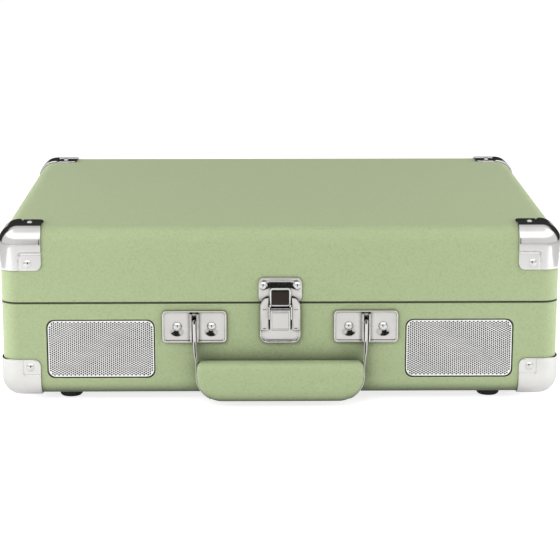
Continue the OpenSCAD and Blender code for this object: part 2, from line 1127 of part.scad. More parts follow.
module base_hinge_leaves() {
  color(chrome)
    for (s = [-1, 1])
      difference() {
        union() {
          on_back(s * hinge_offset, seam_level - leaf_reach / 2 - 3.5)
            linear_extrude(leaf_thickness)
              rounded_rect(hinge_width, leaf_reach, 1.5);
          for (n = [0, 1])
            translate([s * hinge_offset, back, seam_level])
              mirror([n, 0, 0])
                translate([knuckle_half, 0, 0]) {
                  translate([0, hinge_out, 0])
                    rotate([0, 90, 0])
                      cylinder(r = knuckle_radius, h = hinge_width / 2 - knuckle_half);
                  translate([0, 0.2, -5])
                    cube([hinge_width / 2 - knuckle_half, leaf_thickness - 0.2, 5]);
                }
        }
        translate([s * hinge_offset - 30, back + hinge_out, seam_level])
          rotate([0, 90, 0])
            cylinder(r = hinge_pin_radius, h = 60);
        for (n = [-1, 1])
          on_back(s * hinge_offset + n * 11, seam_level - 12)
            nail_hole();
      }
}

module lid_hinge_leaves() {
  half = knuckle_half - 0.2;
  color(chrome)
    for (s = [-1, 1])
      difference() {
        union() {
          on_back(s * hinge_offset, seam_level + leaf_reach / 2 + 3.5)
            linear_extrude(leaf_thickness)
              rounded_rect(hinge_width, leaf_reach, 1.5);
          translate([s * hinge_offset - half, back + hinge_out, seam_level])
            rotate([0, 90, 0])
              cylinder(r = knuckle_radius, h = 2 * half);
          translate([s * hinge_offset - half, back + 0.2, seam_level])
            cube([2 * half, leaf_thickness - 0.2, 5]);
        }
        translate([s * hinge_offset - 30, back + hinge_out, seam_level])
          rotate([0, 90, 0])
            cylinder(r = hinge_pin_radius + fit_gap, h = 60);
        for (n = [-1, 1])
          on_back(s * hinge_offset + n * 11, seam_level + 12)
            nail_hole();
      }
}

module hinge_pins() {
  color(steel)
    for (s = [-1, 1])
      translate([s * hinge_offset - hinge_width / 2, back + hinge_out, seam_level])
        rotate([0, 90, 0])
          cylinder(r = hinge_pin_radius, h = hinge_width);
}

module hinge_screw() {
  translate([0, 0, leaf_thickness])
    dome(2.4, 1);
  translate([0, 0, -shank_length])
    cylinder(r = shank_radius, h = shank_length + leaf_thickness, $fn = 24);
}

module base_hinge_screws() {
  color(chrome)
    at_hinge_screws(seam_level - 12)
      hinge_screw();
}

module lid_hinge_screws() {
  color(chrome)
    at_hinge_screws(seam_level + 12)
      hinge_screw();
}

// ---- Lid ----

module lid_frame() {
  rim = seam_level + seam / 2 + skin;
  color(birch)
    difference() {
      translate([0, mid, body_top - skin])
        mirror([0, 0, 1])
          tub(width - 2 * skin, depth - 2 * skin, body_top - skin - rim, edge_radius - skin);
      translate([0, mid, rim - 1])
        linear_extrude(body_top - skin - wall - rim + 1)
          rounded_rect(inner_width, inner_depth, inner_radius);
      lid_nail_holes();
      at_hinge_screws(seam_level + 12)
        nail_hole();
    }
}

module lid_covering() {
  rim = seam_level + seam / 2;
  color(sage)
    difference() {
      translate([0, mid, body_top])
        mirror([0, 0, 1])
          tub(width, depth, body_top - rim, edge_radius);
      translate([0, mid, body_top - skin])
        mirror([0, 0, 1])
          tub(width - 2 * skin, depth - 2 * skin, body_top - rim - 2 * skin, edge_radius - skin);
      translate([0, mid, rim - 1])
        linear_extrude(skin + 2)
          rounded_rect(inner_width, inner_depth, inner_radius);
      lid_nail_holes();
      at_hinge_screws(seam_level + 12)
        nail_hole();
    }
}

module lid_lining() {
  color(ivory)
    translate([0, mid, body_top - skin - wall - 1])
      linear_extrude(1)
        rounded_rect(inner_width - 1, inner_depth - 1, inner_radius);
}

module lid_corner_caps() {
  color(chrome)
    difference() {
      placed_caps(lid_cap_leg, lid_cap_leg, body_top - edge_radius, true);
      lid_nail_holes();
    }
}

module lid_nails() {
  color(chrome) {
    at_four_corners()
      at_cap_nails(lid_nail_level, body_top, true)
        nail(cap_thickness);
    for (s = [-1, 1])
      on_front(s * 10.9, seam_level + 11.2)
        nail(1);
  }
}

// ---- Turntable ----

module platter() {
  rim = platter_diameter / 2;
  color(steel)
    translate([platter_x, platter_y, platter_bottom])
      difference() {
        cylinder(r = rim, h = 8.5, $fn = 128);
        translate([0, 0, -1])
          tube(rim - 2, drive_radius, 7);
        translate([0, 0, -1])
          tube(drive_radius - 3, 10, 7);
        translate([0, 0, -1])
          cylinder(r = hub_radius, h = 12);
      }
}

module slipmat() {
  color(black)
    translate([platter_x, platter_y, platter_top])
      tube(platter_diameter / 2 - 1, spindle_radius + 0.2, mat_thickness, $fn = 128);
}

module spindle() {
  color(chrome)
    translate([platter_x, platter_y, 0]) {
      translate([0, 0, deck_top - 17.9])
        cylinder(r = shaft_radius, h = 21);
      translate([0, 0, platter_bottom])
        cylinder(r = hub_radius, h = mat_top - platter_bottom);
      translate([0, 0, mat_top])
        cylinder(r = spindle_radius, h = 8);
      translate([0, 0, mat_top + 8])
        dome(spindle_radius, 3);
    }
}

module motor_pulley() {
  color(brass)
    translate([motor_x, motor_y, 0]) {
      translate([0, 0, deck_bottom - 10])
        cylinder(r = 1, h = 18);
      translate([0, 0, platter_bottom - 0.5])
        cylinder(r = pulley_radius, h = 5.5);
    }
}

module drive_belt() {
  slack = 0.1;
  color(black)
    translate([platter_x, platter_y, platter_bottom + 1])
      linear_extrude(3)
        difference() {
          hull() {
            circle(r = drive_radius + slack + belt_thickness, $fn = 128);
            translate([motor_x - platter_x, motor_y - platter_y])
              circle(r = pulley_radius + slack + belt_thickness, $fn = 48);
          }
          hull() {
            circle(r = drive_radius + slack, $fn = 128);
            translate([motor_x - platter_x, motor_y - platter_y])
              circle(r = pulley_radius + slack, $fn = 48);
          }
        }
}

// ---- Tonearm ----

// Upright shaft and fork that carries the arm's level axis
module tonearm_yoke() {
  color(steel)
    translate([arm_x, arm_y, 0])
      difference() {
        union() {
          translate([0, 0, deck_bottom - 6])
            cylinder(r = arm_shaft_radius, h = 22);
          translate([0, 0, deck_top + 12.2])
            cylinder(r = 8, h = 3.4);
          for (s = [-1, 1])
            translate([s * 6.6 - 1, -4, deck_top + 15])
              cube([2, 8, 12.5]);
        }
        translate([-10, 0, arm_level])
          rotate([0, 90, 0])
            cylinder(r = 1, h = 20, $fn = 32);
      }
}

module tonearm_tube() {
  color(chrome)
    translate([arm_x, arm_y, arm_level]) {
      translate([0, 22, 0])
        rotate([90, 0, 0])
          tube(arm_tube_radius, 2.8, arm_length);
      translate([-8, 0, 0])
        rotate([0, 90, 0])
          cylinder(r = 1 - fit_gap, h = 16, $fn = 32);
      translate([0, 34, 0])
        rotate([90, 0, 0])
          cylinder(r = 2.8, h = 56);
    }
}

module headshell() {
  length = 46;
  color(black)
    translate([arm_x, stylus_y - 8, arm_level])
      difference() {
        union() {
          translate([-8, 0, -2])
            cube([16, length - 2, 7]);
          translate([8, 14, 0])
            cube([9, 5, 1.5]);
          translate([0, length, 0])
            rotate([90, 0, 0])
              cylinder(r = arm_tube_radius + 1.4, h = 17);
        }
        translate([-6.5, 1.5, -3])
          cube([13, 24, 6.5]);
        translate([0, length, 0])
          rotate([90, 0, 0])
            cylinder(r = arm_tube_radius, h = 16);
      }
}

// Cartridge body with its cantilever and stylus
module cartridge() {
  tip = mat_top + 1.5;
  color("firebrick")
    translate([arm_x, stylus_y, 0]) {
      translate([-5.5, -5, tip + 2])
        cube([11, 18, arm_level + 3.5 - tip - 2]);
      translate([0, 0, tip])
        cylinder(r1 = 0.3, r2 = 1, h = 2);
    }
}

module counterweight() {
  color(black)
    translate([arm_x, arm_y + 34, arm_level])
      rotate([90, 0, 0])
        tube(9, 2.8, 12);
}

module cue_lever() {
  color(chrome)
    translate([cue_x - 7.5, cue_y, cue_level]) {
      rotate([0, 90, 0])
        cylinder(r = 1.5, h = 10);
      translate([3.8, 0, 0])
        rotate([0, 90, 0])
          cylinder(r = 3.2, h = 4);
      translate([4.3, -24, -1])
        cube([3, 24, 2]);
      translate([4.3, -28, -1.4])
        cube([6, 5, 2.8]);
    }
}

// Bar under the arm on a post that slides in the tonearm base
module lift_platform() {
  bar_top = arm_level - arm_tube_radius - 0.15;
  color(steel)
    translate([arm_x, arm_y - 16, 0]) {
      translate([0, 0, deck_top + 0.2])
        cylinder(r = 2, h = bar_top - 3 - deck_top - 0.2);
      translate([-2, 16 - lift_distance, bar_top - 3])
        cube([4, lift_distance - 16, 1.2]);
      translate([0, 16, bar_top - 3])
        rotate([0, 0, 222])
          rotate_extrude(angle = 58)
            translate([lift_distance - 2, 0])
              square([4, 3]);
    }
}

module arm_clip() {
  seat = arm_level - arm_tube_radius - 0.3;
  color(black)
    translate([arm_x + 10.5, rest_y, seat + 5]) {
      rotate([90, 0, 0])
        translate([0, 0, -5])
          cylinder(r = 0.8, h = 10, $fn = 32);
      for (s = [-1, 1])
        translate([-1.5, s * 5 - 0.75, -1.5])
          cube([3, 1.5, 16]);
      translate([-1.5, -5.75, 13])
        cube([3, 11.5, 1.5]);
    }
}

// ---- Controls ----

module knob(y) {
  flutes = 24;
  color(chrome)
    translate([knob_x, y, deck_top + 0.6])
      difference() {
        union() {
          cylinder(r = 10, h = 1.6);
          cylinder(r = 8.5, h = 12);
          translate([0, 0, -7])
            cylinder(r = knob_shaft_radius, h = 8);
        }
        for (i = [0:flutes - 1])
          rotate([0, 0, i * 360 / flutes])
            translate([8.8, 0, 2.4])
              cylinder(r = 0.6, h = 12, $fn = 16);
        translate([-0.5, 4, 11.4])
          cube([1, 3.5, 2]);
      }
}

module volume_knob() {
  knob(volume_y);
}

module function_knob() {
  knob(function_y);
}

module speed_switch() {
  color(black)
    translate([knob_x, switch_y, deck_top]) {
      translate([-1.4, -2.5, -6])
        cube([2.8, 5, 7]);
      translate([-3, -3.5, 0.6])
        cube([6, 7, 3.4]);
    }
}

// Centre adapter for large-hole records, in its well on the deck
module adapter_45() {
  color(black)
    translate([adapter_x, adapter_y, deck_top - 1.4])
      difference() {
        cylinder(r = 19, h = 5);
        translate([0, 0, -1])
          cylinder(r = spindle_radius + 0.1, h = 8);
        translate([0, 0, 3.5])
          tube(16, 8, 3);
      }
}

base_frame();
base_covering();
bottom_panel();
panel_screws();
rubber_feet();
foot_screws();
base_corner_caps();
base_nails();
speaker_grille_left();
speaker_grille_right();
speaker_baskets();
speaker_cones();
corner_blocks();
deck_plate();
deck_screws();
platter_bearing();
drive_motor();
circuit_board();
board_posts();
potentiometers();
slide_switches();
rear_jack_panel();
rear_jacks();
tonearm_base();
arm_rest();
handle_brackets();
front_pins();
latch_body();
base_hinge_leaves();
hinge_pins();
base_hinge_screws();
lid_frame();
lid_covering();
lid_lining();
lid_corner_caps();
lid_nails();
latch_strike();
lid_hinge_leaves();
lid_hinge_screws();
handle_frame();
handle_grip();
latch_lever();
latch_hook();
platter();
slipmat();
spindle();
motor_pulley();
drive_belt();
tonearm_yoke();
tonearm_tube();
headshell();
cartridge();
counterweight();
cue_lever();
lift_platform();
arm_clip();
volume_knob();
function_knob();
speed_switch();
adapter_45();
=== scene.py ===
import json
import math

import bmesh
import bpy
from mathutils import Matrix, Vector


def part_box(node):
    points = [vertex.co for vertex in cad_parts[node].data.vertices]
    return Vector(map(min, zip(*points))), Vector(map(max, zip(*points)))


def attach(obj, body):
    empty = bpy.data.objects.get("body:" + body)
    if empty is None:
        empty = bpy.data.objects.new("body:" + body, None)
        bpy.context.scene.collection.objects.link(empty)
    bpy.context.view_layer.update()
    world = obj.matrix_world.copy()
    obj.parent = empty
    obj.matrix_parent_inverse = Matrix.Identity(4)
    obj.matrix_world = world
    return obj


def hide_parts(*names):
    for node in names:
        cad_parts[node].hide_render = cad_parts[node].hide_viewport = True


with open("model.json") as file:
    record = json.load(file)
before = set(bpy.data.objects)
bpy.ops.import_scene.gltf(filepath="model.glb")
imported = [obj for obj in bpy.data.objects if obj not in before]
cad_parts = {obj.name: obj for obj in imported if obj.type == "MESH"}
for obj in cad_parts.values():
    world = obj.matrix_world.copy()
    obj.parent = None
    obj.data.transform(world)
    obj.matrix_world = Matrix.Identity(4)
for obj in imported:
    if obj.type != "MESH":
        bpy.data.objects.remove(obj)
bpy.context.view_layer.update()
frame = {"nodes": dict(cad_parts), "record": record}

MM = 0.001
NODES = frame["nodes"]

# ---------------------------------------------------------------- anchors from the frame

BASE_LO, BASE_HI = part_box("base_covering")
LID_LO, LID_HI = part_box("lid_covering")
HALF_WIDTH = BASE_HI.x
FRONT, BACK = BASE_LO.y, BASE_HI.y
MIDDLE_Y = (FRONT + BACK) / 2
BOTTOM, TOP = BASE_LO.z, LID_HI.z
SEAM = (BASE_HI.z + LID_LO.z) / 2
EDGE_RADIUS = 11 * MM


# ---------------------------------------------------------------- mesh helpers

def add_mesh(name, verts, faces, material, body, angle=35):
    """Makes a smooth-shaded piece with hard edges above the angle, riding on a body."""
    mesh = bpy.data.meshes.new(name)
    mesh.from_pydata([tuple(v) for v in verts], [], faces)
    bm = bmesh.new()
    bm.from_mesh(mesh)
    bmesh.ops.recalc_face_normals(bm, faces=bm.faces)
    for face in bm.faces:
        face.smooth = True
    limit = math.radians(angle)
    for edge in bm.edges:
        if len(edge.link_faces) == 2 and edge.calc_face_angle() > limit:
            edge.smooth = False
    bm.to_mesh(mesh)
    bm.free()
    mesh.materials.append(material)
    piece = bpy.data.objects.new(name, mesh)
    bpy.context.scene.collection.objects.link(piece)
    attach(piece, body)
    return piece


def facing_front(x, z, out=0.0):
    """Frame on the front face: local X is to the right, local Y is up, local Z is out."""
    return Matrix(((1, 0, 0, x), (0, 0, -1, FRONT - out), (0, 1, 0, z), (0, 0, 0, 1)))


def rounded_outline(width, height, radius, steps=6, along=1):
    """Points round a rectangle with rounded corners, anticlockwise from the right side."""
    radius = max(min(radius, width / 2 - 1e-6, height / 2 - 1e-6), 1e-5)
    points = []
    corners = ((1, 1, 0), (-1, 1, 90), (-1, -1, 180), (1, -1, 270))
    for sx, sy, start in corners:
        cx = sx * (width / 2 - radius)
        cy = sy * (height / 2 - radius)
        for i in range(steps + 1):
            a = math.radians(start + 90 * i / steps)
            points.append((cx + radius * math.cos(a), cy + radius * math.sin(a)))
        if along > 1:
            (x0, y0), (nx, ny) = points[-1], next_corner(sx, sy, width, height, radius)
            for i in range(1, along):
                points.append((x0 + (nx - x0) * i / along, y0 + (ny - y0) * i / along))
    return points


def next_corner(sx, sy, width, height, radius):
    """Where the straight side that follows a corner ends."""
    if sx * sy > 0:
        return -sx * (width / 2 - radius), sy * height / 2
    return sx * width / 2, -sy * (height / 2 - radius)


def loft(rings):
    """Closed surface through rings of equal point counts, with an n-gon at both ends."""
    count = len(rings[0])
    verts = [p for ring in rings for p in ring]
    faces = []
    for k in range(len(rings) - 1):
        for i in range(count):
            j = (i + 1) % count
            faces.append((k * count + i, k * count + j, (k + 1) * count + j, (k + 1) * count + i))
    faces.append(tuple(range(count))[::-1])
    last = (len(rings) - 1) * count
    faces.append(tuple(range(last, last + count)))
    return verts, faces


def pressed_plate(width, height, radius, profile, place, along=1, relief=None):
    """Sheet shape whose profile lists (inset, height) in mm from the outer edge inwards.

    relief(x, y), in mm, is added to the height beyond the profile's last inset."""
    rings = []
    for inset, level in profile:
        outline = rounded_outline((width - 2 * inset) * MM, (height - 2 * inset) * MM,
                                  max(radius - inset, 0.15) * MM, 6, along)
        rings.append([place @ Vector((x, y, level * MM)) for x, y in outline])
    if relief:
        start, level = profile[-1]
        deepest = min(width, height) / 2 - 0.02
        count = max(int((deepest - start) / 0.45), 4)
        for k in range(1, count + 1):
            inset = start + (deepest - start) * k / count
            outline = rounded_outline((width - 2 * inset) * MM, (height - 2 * inset) * MM,
                                      max(radius - inset, 0.15) * MM, 6, along)
            rings.append([place @ Vector((x, y, (level + relief(x / MM, y / MM)) * MM))
                          for x, y in outline])
    return loft(rings)


def smooth_step(value, start, end):
    """0 up to start, 1 from end on, and a soft S between them."""
    t = min(max((value - start) / (end - start), 0.0), 1.0)
    return t * t * (3 - 2 * t)


def dimple(x, y, cx, cy, reach, depth):
    """Smooth round hollow."""
    d = math.hypot(x - cx, y - cy) / reach
    return -depth * (1 + math.cos(math.pi * d)) / 2 if d < 1 else 0.0


def lathe(profile, place, steps):
    """Turned shape from (radius, height) points in mm."""
    rings = []
    for r, z in profile:
        rings.append([place @ Vector((r * MM * math.cos(2 * math.pi * i / steps),
                                      r * MM * math.sin(2 * math.pi * i / steps), z * MM))
                      for i in range(steps)])
    return loft(rings)


def merged(parts):
    """Joins several (verts, faces) pairs into one."""
    verts, faces = [], []
    for v, f in parts:
        offset = len(verts)
        verts += v
        faces += [tuple(i + offset for i in face) for face in f]
    return verts, faces


def mirrored(part):
    """The same shape on the other side of x = 0."""
    verts, faces = part
    return [Vector((-v[0], v[1], v[2])) for v in verts], [face[::-1] for face in faces]


def arc(cx, cy, r, start, end, steps):
    """(x, y) points on an arc, both ends included."""
    return [(cx + r * math.cos(math.radians(start + (end - start) * i / steps)),
             cy + r * math.sin(math.radians(start + (end - start) * i / steps)))
            for i in range(steps + 1)]


# ---------------------------------------------------------------- material helpers

def new_material(name):
    """A material, its node tree and its main shader."""
    material = bpy.data.materials.new(name)
    material.use_nodes = True
    tree = material.node_tree
    return material, tree, tree.nodes["Principled BSDF"]


def link(tree, a, b):
    tree.links.new(a, b)


def coordinates(tree, scale=(1, 1, 1)):
    """Position in the piece's own frame, in metres, so a pattern moves with its piece."""
    coord = tree.nodes.new("ShaderNodeTexCoord")
    mapping = tree.nodes.new("ShaderNodeMapping")
    mapping.inputs["Scale"].default_value = scale
    link(tree, coord.outputs["Object"], mapping.inputs["Vector"])
    return mapping.outputs["Vector"]


def noise(tree, vector, scale, detail=4, roughness=0.55):
    """Cloudy value from 0 to 1."""
    made = tree.nodes.new("ShaderNodeTexNoise")
    made.inputs["Scale"].default_value = scale
    made.inputs["Detail"].default_value = detail
    made.inputs["Roughness"].default_value = roughness
    link(tree, vector, made.inputs["Vector"])
    return made.outputs["Fac"]


def ramp(tree, fac, stops):
    """Colour that follows a value; stops pair a position with a colour or a grey level."""
    made = tree.nodes.new("ShaderNodeValToRGB")
    elements = made.color_ramp.elements
    while len(elements) < len(stops):
        elements.new(0.5)
    for element, (position, colour) in zip(elements, stops):
        element.position = position
        element.color = (colour,) * 3 + (1,) if isinstance(colour, (int, float)) else tuple(colour) + (1,)
    link(tree, fac, made.inputs["Fac"])
    return made.outputs["Color"]


def bump(tree, height, strength, distance):
    """Surface normal tilted by a height pattern."""
    made = tree.nodes.new("ShaderNodeBump")
    made.inputs["Strength"].default_value = strength
    made.inputs["Distance"].default_value = distance
    link(tree, height, made.inputs["Height"])
    return made.outputs["Normal"]


def mix_value(tree, a, b, operation="ADD"):
    """Result of a maths operation on two values; each is a socket or a number."""
    made = tree.nodes.new("ShaderNodeMath")
    made.operation = operation
    for socket, value in zip(made.inputs, (a, b)):
        if isinstance(value, (int, float)):
            socket.default_value = value
        else:
            link(tree, value, socket)
    return made.outputs[0]


def blend_colour(tree, factor, a, b, blend="MIX"):
    """Blends colour b over colour a; each, like the factor, is a socket or a plain value."""
    made = tree.nodes.new("ShaderNodeMix")
    made.data_type = "RGBA"
    made.blend_type = blend
    for socket, value in zip((made.inputs[0], made.inputs[6], made.inputs[7]), (factor, a, b)):
        if isinstance(value, (tuple, float)):
            socket.default_value = value
        else:
            link(tree, value, socket)
    return made.outputs[2]


def shade(colour, factor):
    """A lighter or darker form of a colour."""
    return tuple(min(c * factor, 1.0) for c in colour)


# ---------------------------------------------------------------- materials

def crevice_shadow(tree, colour, reach, stops):
    """Darkens a colour where nearby surfaces close it in; stops pair openness with brightness."""
    open_air = tree.nodes.new("ShaderNodeAmbientOcclusion")
    open_air.samples = 6
    open_air.inputs["Distance"].default_value = reach
    return blend_colour(tree, 1.0, colour, ramp(tree, open_air.outputs["AO"], stops), "MULTIPLY")


def seam_gap_shade(tree, colour, vector):
    """Painted shade: a dark line along the outside of the two rims that meet at the seam, where the gap
    between them lies in shadow; their flat faces keep their colour.
    """
    split = tree.nodes.new("ShaderNodeSeparateXYZ")
    link(tree, vector, split.inputs[0])
    offset = mix_value(tree, mix_value(tree, split.outputs["Z"], -SEAM), 1 / MM, "MULTIPLY")
    distance = mix_value(tree, offset, 0.0, "ABSOLUTE")
    facing = tree.nodes.new("ShaderNodeSeparateXYZ")
    link(tree, tree.nodes.new("ShaderNodeTexCoord").outputs["Normal"], facing.inputs[0])
    upright = mix_value(tree, facing.outputs["Z"], 0.0, "ABSOLUTE")
    near_seam = ramp(tree, distance, ((0.5, 0.16), (0.8, 1.0)))
    flat_face = ramp(tree, upright, ((0.9, 0.0), (0.97, 1.0)))
    line = mix_value(tree, near_seam, flat_face, "MAXIMUM")
    return blend_colour(tree, 1.0, colour, line, "MULTIPLY")


def leatherette(name, colour):
    """Fine pebbled grain, slightly mottled, with a soft sheen towards grazing angles."""
    material, tree, shader = new_material(name)
    vector = coordinates(tree)
    cells = tree.nodes.new("ShaderNodeTexVoronoi")
    cells.feature = "SMOOTH_F1"
    cells.inputs["Scale"].default_value = 820
    cells.inputs["Smoothness"].default_value = 0.4
    warp = tree.nodes.new("ShaderNodeVectorMath")
    warp.operation = "ADD"
    drift = tree.nodes.new("ShaderNodeTexNoise")
    drift.inputs["Scale"].default_value = 420
    link(tree, vector, drift.inputs["Vector"])
    drifted = tree.nodes.new("ShaderNodeVectorMath")
    drifted.operation = "SCALE"
    drifted.inputs["Scale"].default_value = 0.0022
    link(tree, drift.outputs["Color"], drifted.inputs[0])
    link(tree, vector, warp.inputs[0])
    link(tree, drifted.outputs[0], warp.inputs[1])
    link(tree, warp.outputs[0], cells.inputs["Vector"])
    wrinkle = noise(tree, vector, 430, 3, 0.6)
    fine = noise(tree, vector, 2200, 2)
    broad = noise(tree, vector, 150, 4)
    pebble = mix_value(tree, cells.outputs["Distance"], -0.8, "MULTIPLY")
    wrinkle_height = mix_value(tree, wrinkle, 0.55, "MULTIPLY")
    fine_height = mix_value(tree, fine, 0.25, "MULTIPLY")
    height = mix_value(tree, pebble, mix_value(tree, wrinkle_height, fine_height))
    mottled = ramp(tree, broad, ((0.3, shade(colour, 0.988)), (0.7, shade(colour, 1.012))))
    creases = ramp(tree, cells.outputs["Distance"], ((0.35, 1.0), (0.9, (0.88, 0.89, 0.86))))
    grained = blend_colour(tree, 1.0, mottled, creases, "MULTIPLY")
    # Painted shade: a dark line along the rims at the seam, where the gap between lid and base lies in
    # shadow.
    seam_shaded = seam_gap_shade(tree, grained, vector)
    # Painted shade: the covering is darker where nearby parts close it in, such as the wall above the grip.
    shaded = crevice_shadow(tree, seam_shaded, 16 * MM, ((0.2, 0.12), (0.6, 0.68), (0.87, 1.0)))
    link(tree, shaded, shader.inputs["Base Color"])
    link(tree, ramp(tree, fine, ((0.3, 0.5), (0.7, 0.6))), shader.inputs["Roughness"])
    shader.inputs["Sheen Weight"].default_value = 0.12
    shader.inputs["Sheen Roughness"].default_value = 0.4
    shader.inputs["Specular IOR Level"].default_value = 0.45
    link(tree, bump(tree, height, 0.55, 0.00022), shader.inputs["Normal"])
    return material


def metal(name, colour, rough, scratch=0.05, streak=(1, 1, 1), crevice=0.0, reach=2.8):
    """Plated or brushed metal with fine scratches and slight colour variation.

    crevice is how far painted shade darkens the gaps and creases within reach mm."""
    material, tree, shader = new_material(name)
    vector = coordinates(tree, streak)
    fine = noise(tree, vector, 900, 5, 0.7)
    cloud = noise(tree, coordinates(tree), 60, 3)
    colours = ramp(tree, cloud, ((0.3, shade(colour, 0.95)), (0.7, shade(colour, 1.03))))
    # Painted shade: the colour darkens in gaps and creases.
    if crevice:
        colours = crevice_shadow(tree, colours, reach * MM, ((0.42, 1 - crevice), (0.86, 1.0)))
    link(tree, colours, shader.inputs["Base Color"])
    shader.inputs["Metallic"].default_value = 1.0
    roughs = ramp(tree, fine, ((0.3, rough * 0.8), (0.75, rough * 1.3)))
    link(tree, roughs, shader.inputs["Roughness"])
    link(tree, bump(tree, fine, scratch, 0.00002), shader.inputs["Normal"])
    return material


def white_coated(name, colour):
    """Silvery white baked finish on perforated sheet."""
    material = metal(name, colour, 0.42, 0.1)
    material.node_tree.nodes["Principled BSDF"].inputs["Metallic"].default_value = 0.35
    return material


def plastic(name, colour, rough, grain=700, depth=0.00004):
    """Moulded plastic with a fine texture."""
    material, tree, shader = new_material(name)
    vector = coordinates(tree)
    fine = noise(tree, vector, grain, 4)
    cloud = noise(tree, vector, 30, 3)
    colours = ramp(tree, cloud, ((0.3, shade(colour, 0.9)), (0.7, shade(colour, 1.1))))
    link(tree, colours, shader.inputs["Base Color"])
    roughs = ramp(tree, fine, ((0.3, rough * 0.85), (0.7, min(rough * 1.15, 1))))
    link(tree, roughs, shader.inputs["Roughness"])
    link(tree, bump(tree, fine, 0.3, depth), shader.inputs["Normal"])
    return material


def birch(name):
    """Raw board with stretched grain lines."""
    material, tree, shader = new_material(name)
    vector = coordinates(tree, (4, 60, 60))
    grain = noise(tree, vector, 6, 6, 0.65)
    dark, middle, light = (0.42, 0.28, 0.15), (0.6, 0.43, 0.25), (0.7, 0.53, 0.33)
    colours = ramp(tree, grain, ((0.3, dark), (0.55, middle), (0.75, light)))
    link(tree, colours, shader.inputs["Base Color"])
    shader.inputs["Roughness"].default_value = 0.7
    link(tree, bump(tree, grain, 0.3, 0.0002), shader.inputs["Normal"])
    return material


def felt(name, colour):
    """Matted fibres with a soft sheen."""
    material, tree, shader = new_material(name)
    vector = coordinates(tree)
    fibres = noise(tree, vector, 1500, 6, 0.75)
    colours = ramp(tree, fibres, ((0.3, shade(colour, 0.6)), (0.7, shade(colour, 1.5))))
    link(tree, colours, shader.inputs["Base Color"])
    shader.inputs["Roughness"].default_value = 0.95
    shader.inputs["Sheen Weight"].default_value = 0.4
    link(tree, bump(tree, fibres, 0.7, 0.0002), shader.inputs["Normal"])
    return material


# One material for each slot of the CAD nodes. Colours are linear RGB.
SAGE = (0.366, 0.438, 0.243)
MATERIALS = {
    "covering": leatherette("sage_leatherette", SAGE),
    "chrome": metal("chrome_plate", (0.93, 0.92, 0.905), 0.09, 0.03, crevice=0.93),
    "grille_metal": white_coated("silver_grille", (0.93, 0.925, 0.915)),
    "wood": birch("birch_board"),
    "black_panel": plastic("black_board", (0.025, 0.024, 0.023), 0.7, 500, 0.0001),
    "rubber": plastic("black_rubber", (0.014, 0.014, 0.014), 0.72, 900),
    "steel": metal("plated_steel", (0.6, 0.6, 0.61), 0.28, 0.1),
    "cone_paper": felt("black_cone_paper", (0.014, 0.014, 0.014)),
    "deck": plastic("black_deck", (0.03, 0.03, 0.031), 0.45, 1100, 0.00008),
    "brass": metal("turned_brass", (0.78, 0.58, 0.28), 0.22, 0.1),
    "board": plastic("green_board", (0.02, 0.13, 0.05), 0.4),
    "platter_metal": metal("pressed_steel", (0.62, 0.62, 0.63), 0.25, 0.15),
    "felt": felt("black_felt", (0.02, 0.02, 0.021)),
    "lining": felt("cream_lining", (0.62, 0.57, 0.45)),
    "black_plastic": plastic("black_plastic", (0.02, 0.02, 0.021), 0.28),
    "red_plastic": plastic("red_plastic", (0.42, 0.03, 0.02), 0.25),
    "arm_metal": metal("satin_tube", (0.78, 0.78, 0.79), 0.2, 0.06),
}
NICKEL = metal("nickel_plate", (0.83, 0.81, 0.785), 0.1, 0.03, crevice=0.93, reach=3.0)
# Painted reflection: near-black metal for the hook's panel, which stands in for the dark reflection in a
# tilted mirror plate.
PAINTED_DARK_REFLECTION = metal("painted_dark_reflection", (0.05, 0.042, 0.036), 0.16, 0.03)

# CAD nodes whose edges are rounded, with the rounding's width in mm.
SOFT_EDGES = {"base_covering": 0.5, "lid_covering": 0.5, "rubber_feet": 0.5}


def dress_cad_nodes():
    """Gives every CAD node the material of its slot, and softens the sharp edges of the nodes in
    SOFT_EDGES.
    """
    for part in frame["record"]["subparts"]:
        thing = NODES[part["node"]]
        material = MATERIALS[part["material_slot"]]
        if not thing.material_slots:
            thing.data.materials.append(material)
        for slot in thing.material_slots:
            slot.material = material
    for name, width in SOFT_EDGES.items():
        modifier = NODES[name].modifiers.new("soft_edges", "BEVEL")
        modifier.width = width * MM
        modifier.segments = 3
        modifier.limit_method = "ANGLE"
        modifier.angle_limit = math.radians(50)
        modifier.harden_normals = True


dress_cad_nodes()


# ---------------------------------------------------------------- corner caps

def cap_lines(leg, groove, half_width):
    """Grid lines along one direction of a cap face, each a distance in mm and an angle in degrees.

    They lie closer together at the free edge and in the groove, and end with the rounding's angles."""
    flat = leg - EDGE_RADIUS / MM
    edge = [-flat + d for d in (0, 0.06, 0.2, 0.42, 0.75, 1.3)]
    fine = [groove + half_width * k / 4 for k in range(-5, 6)]
    count = int(flat / 1.0)
    lines = edge + [line for line in fine if edge[-1] + 0.2 < line < -0.1]
    for i in range(1, count):
        line = -flat * i / count
        if line > edge[-1] + 0.3 and min(abs(line - other) for other in lines) > 0.3:
            lines.append(line)
    return [(line, 0.0) for line in sorted(lines)] + [(0.0, 0.0)] + [(0.0, 5.0 * (i + 1)) for i in range(9)]


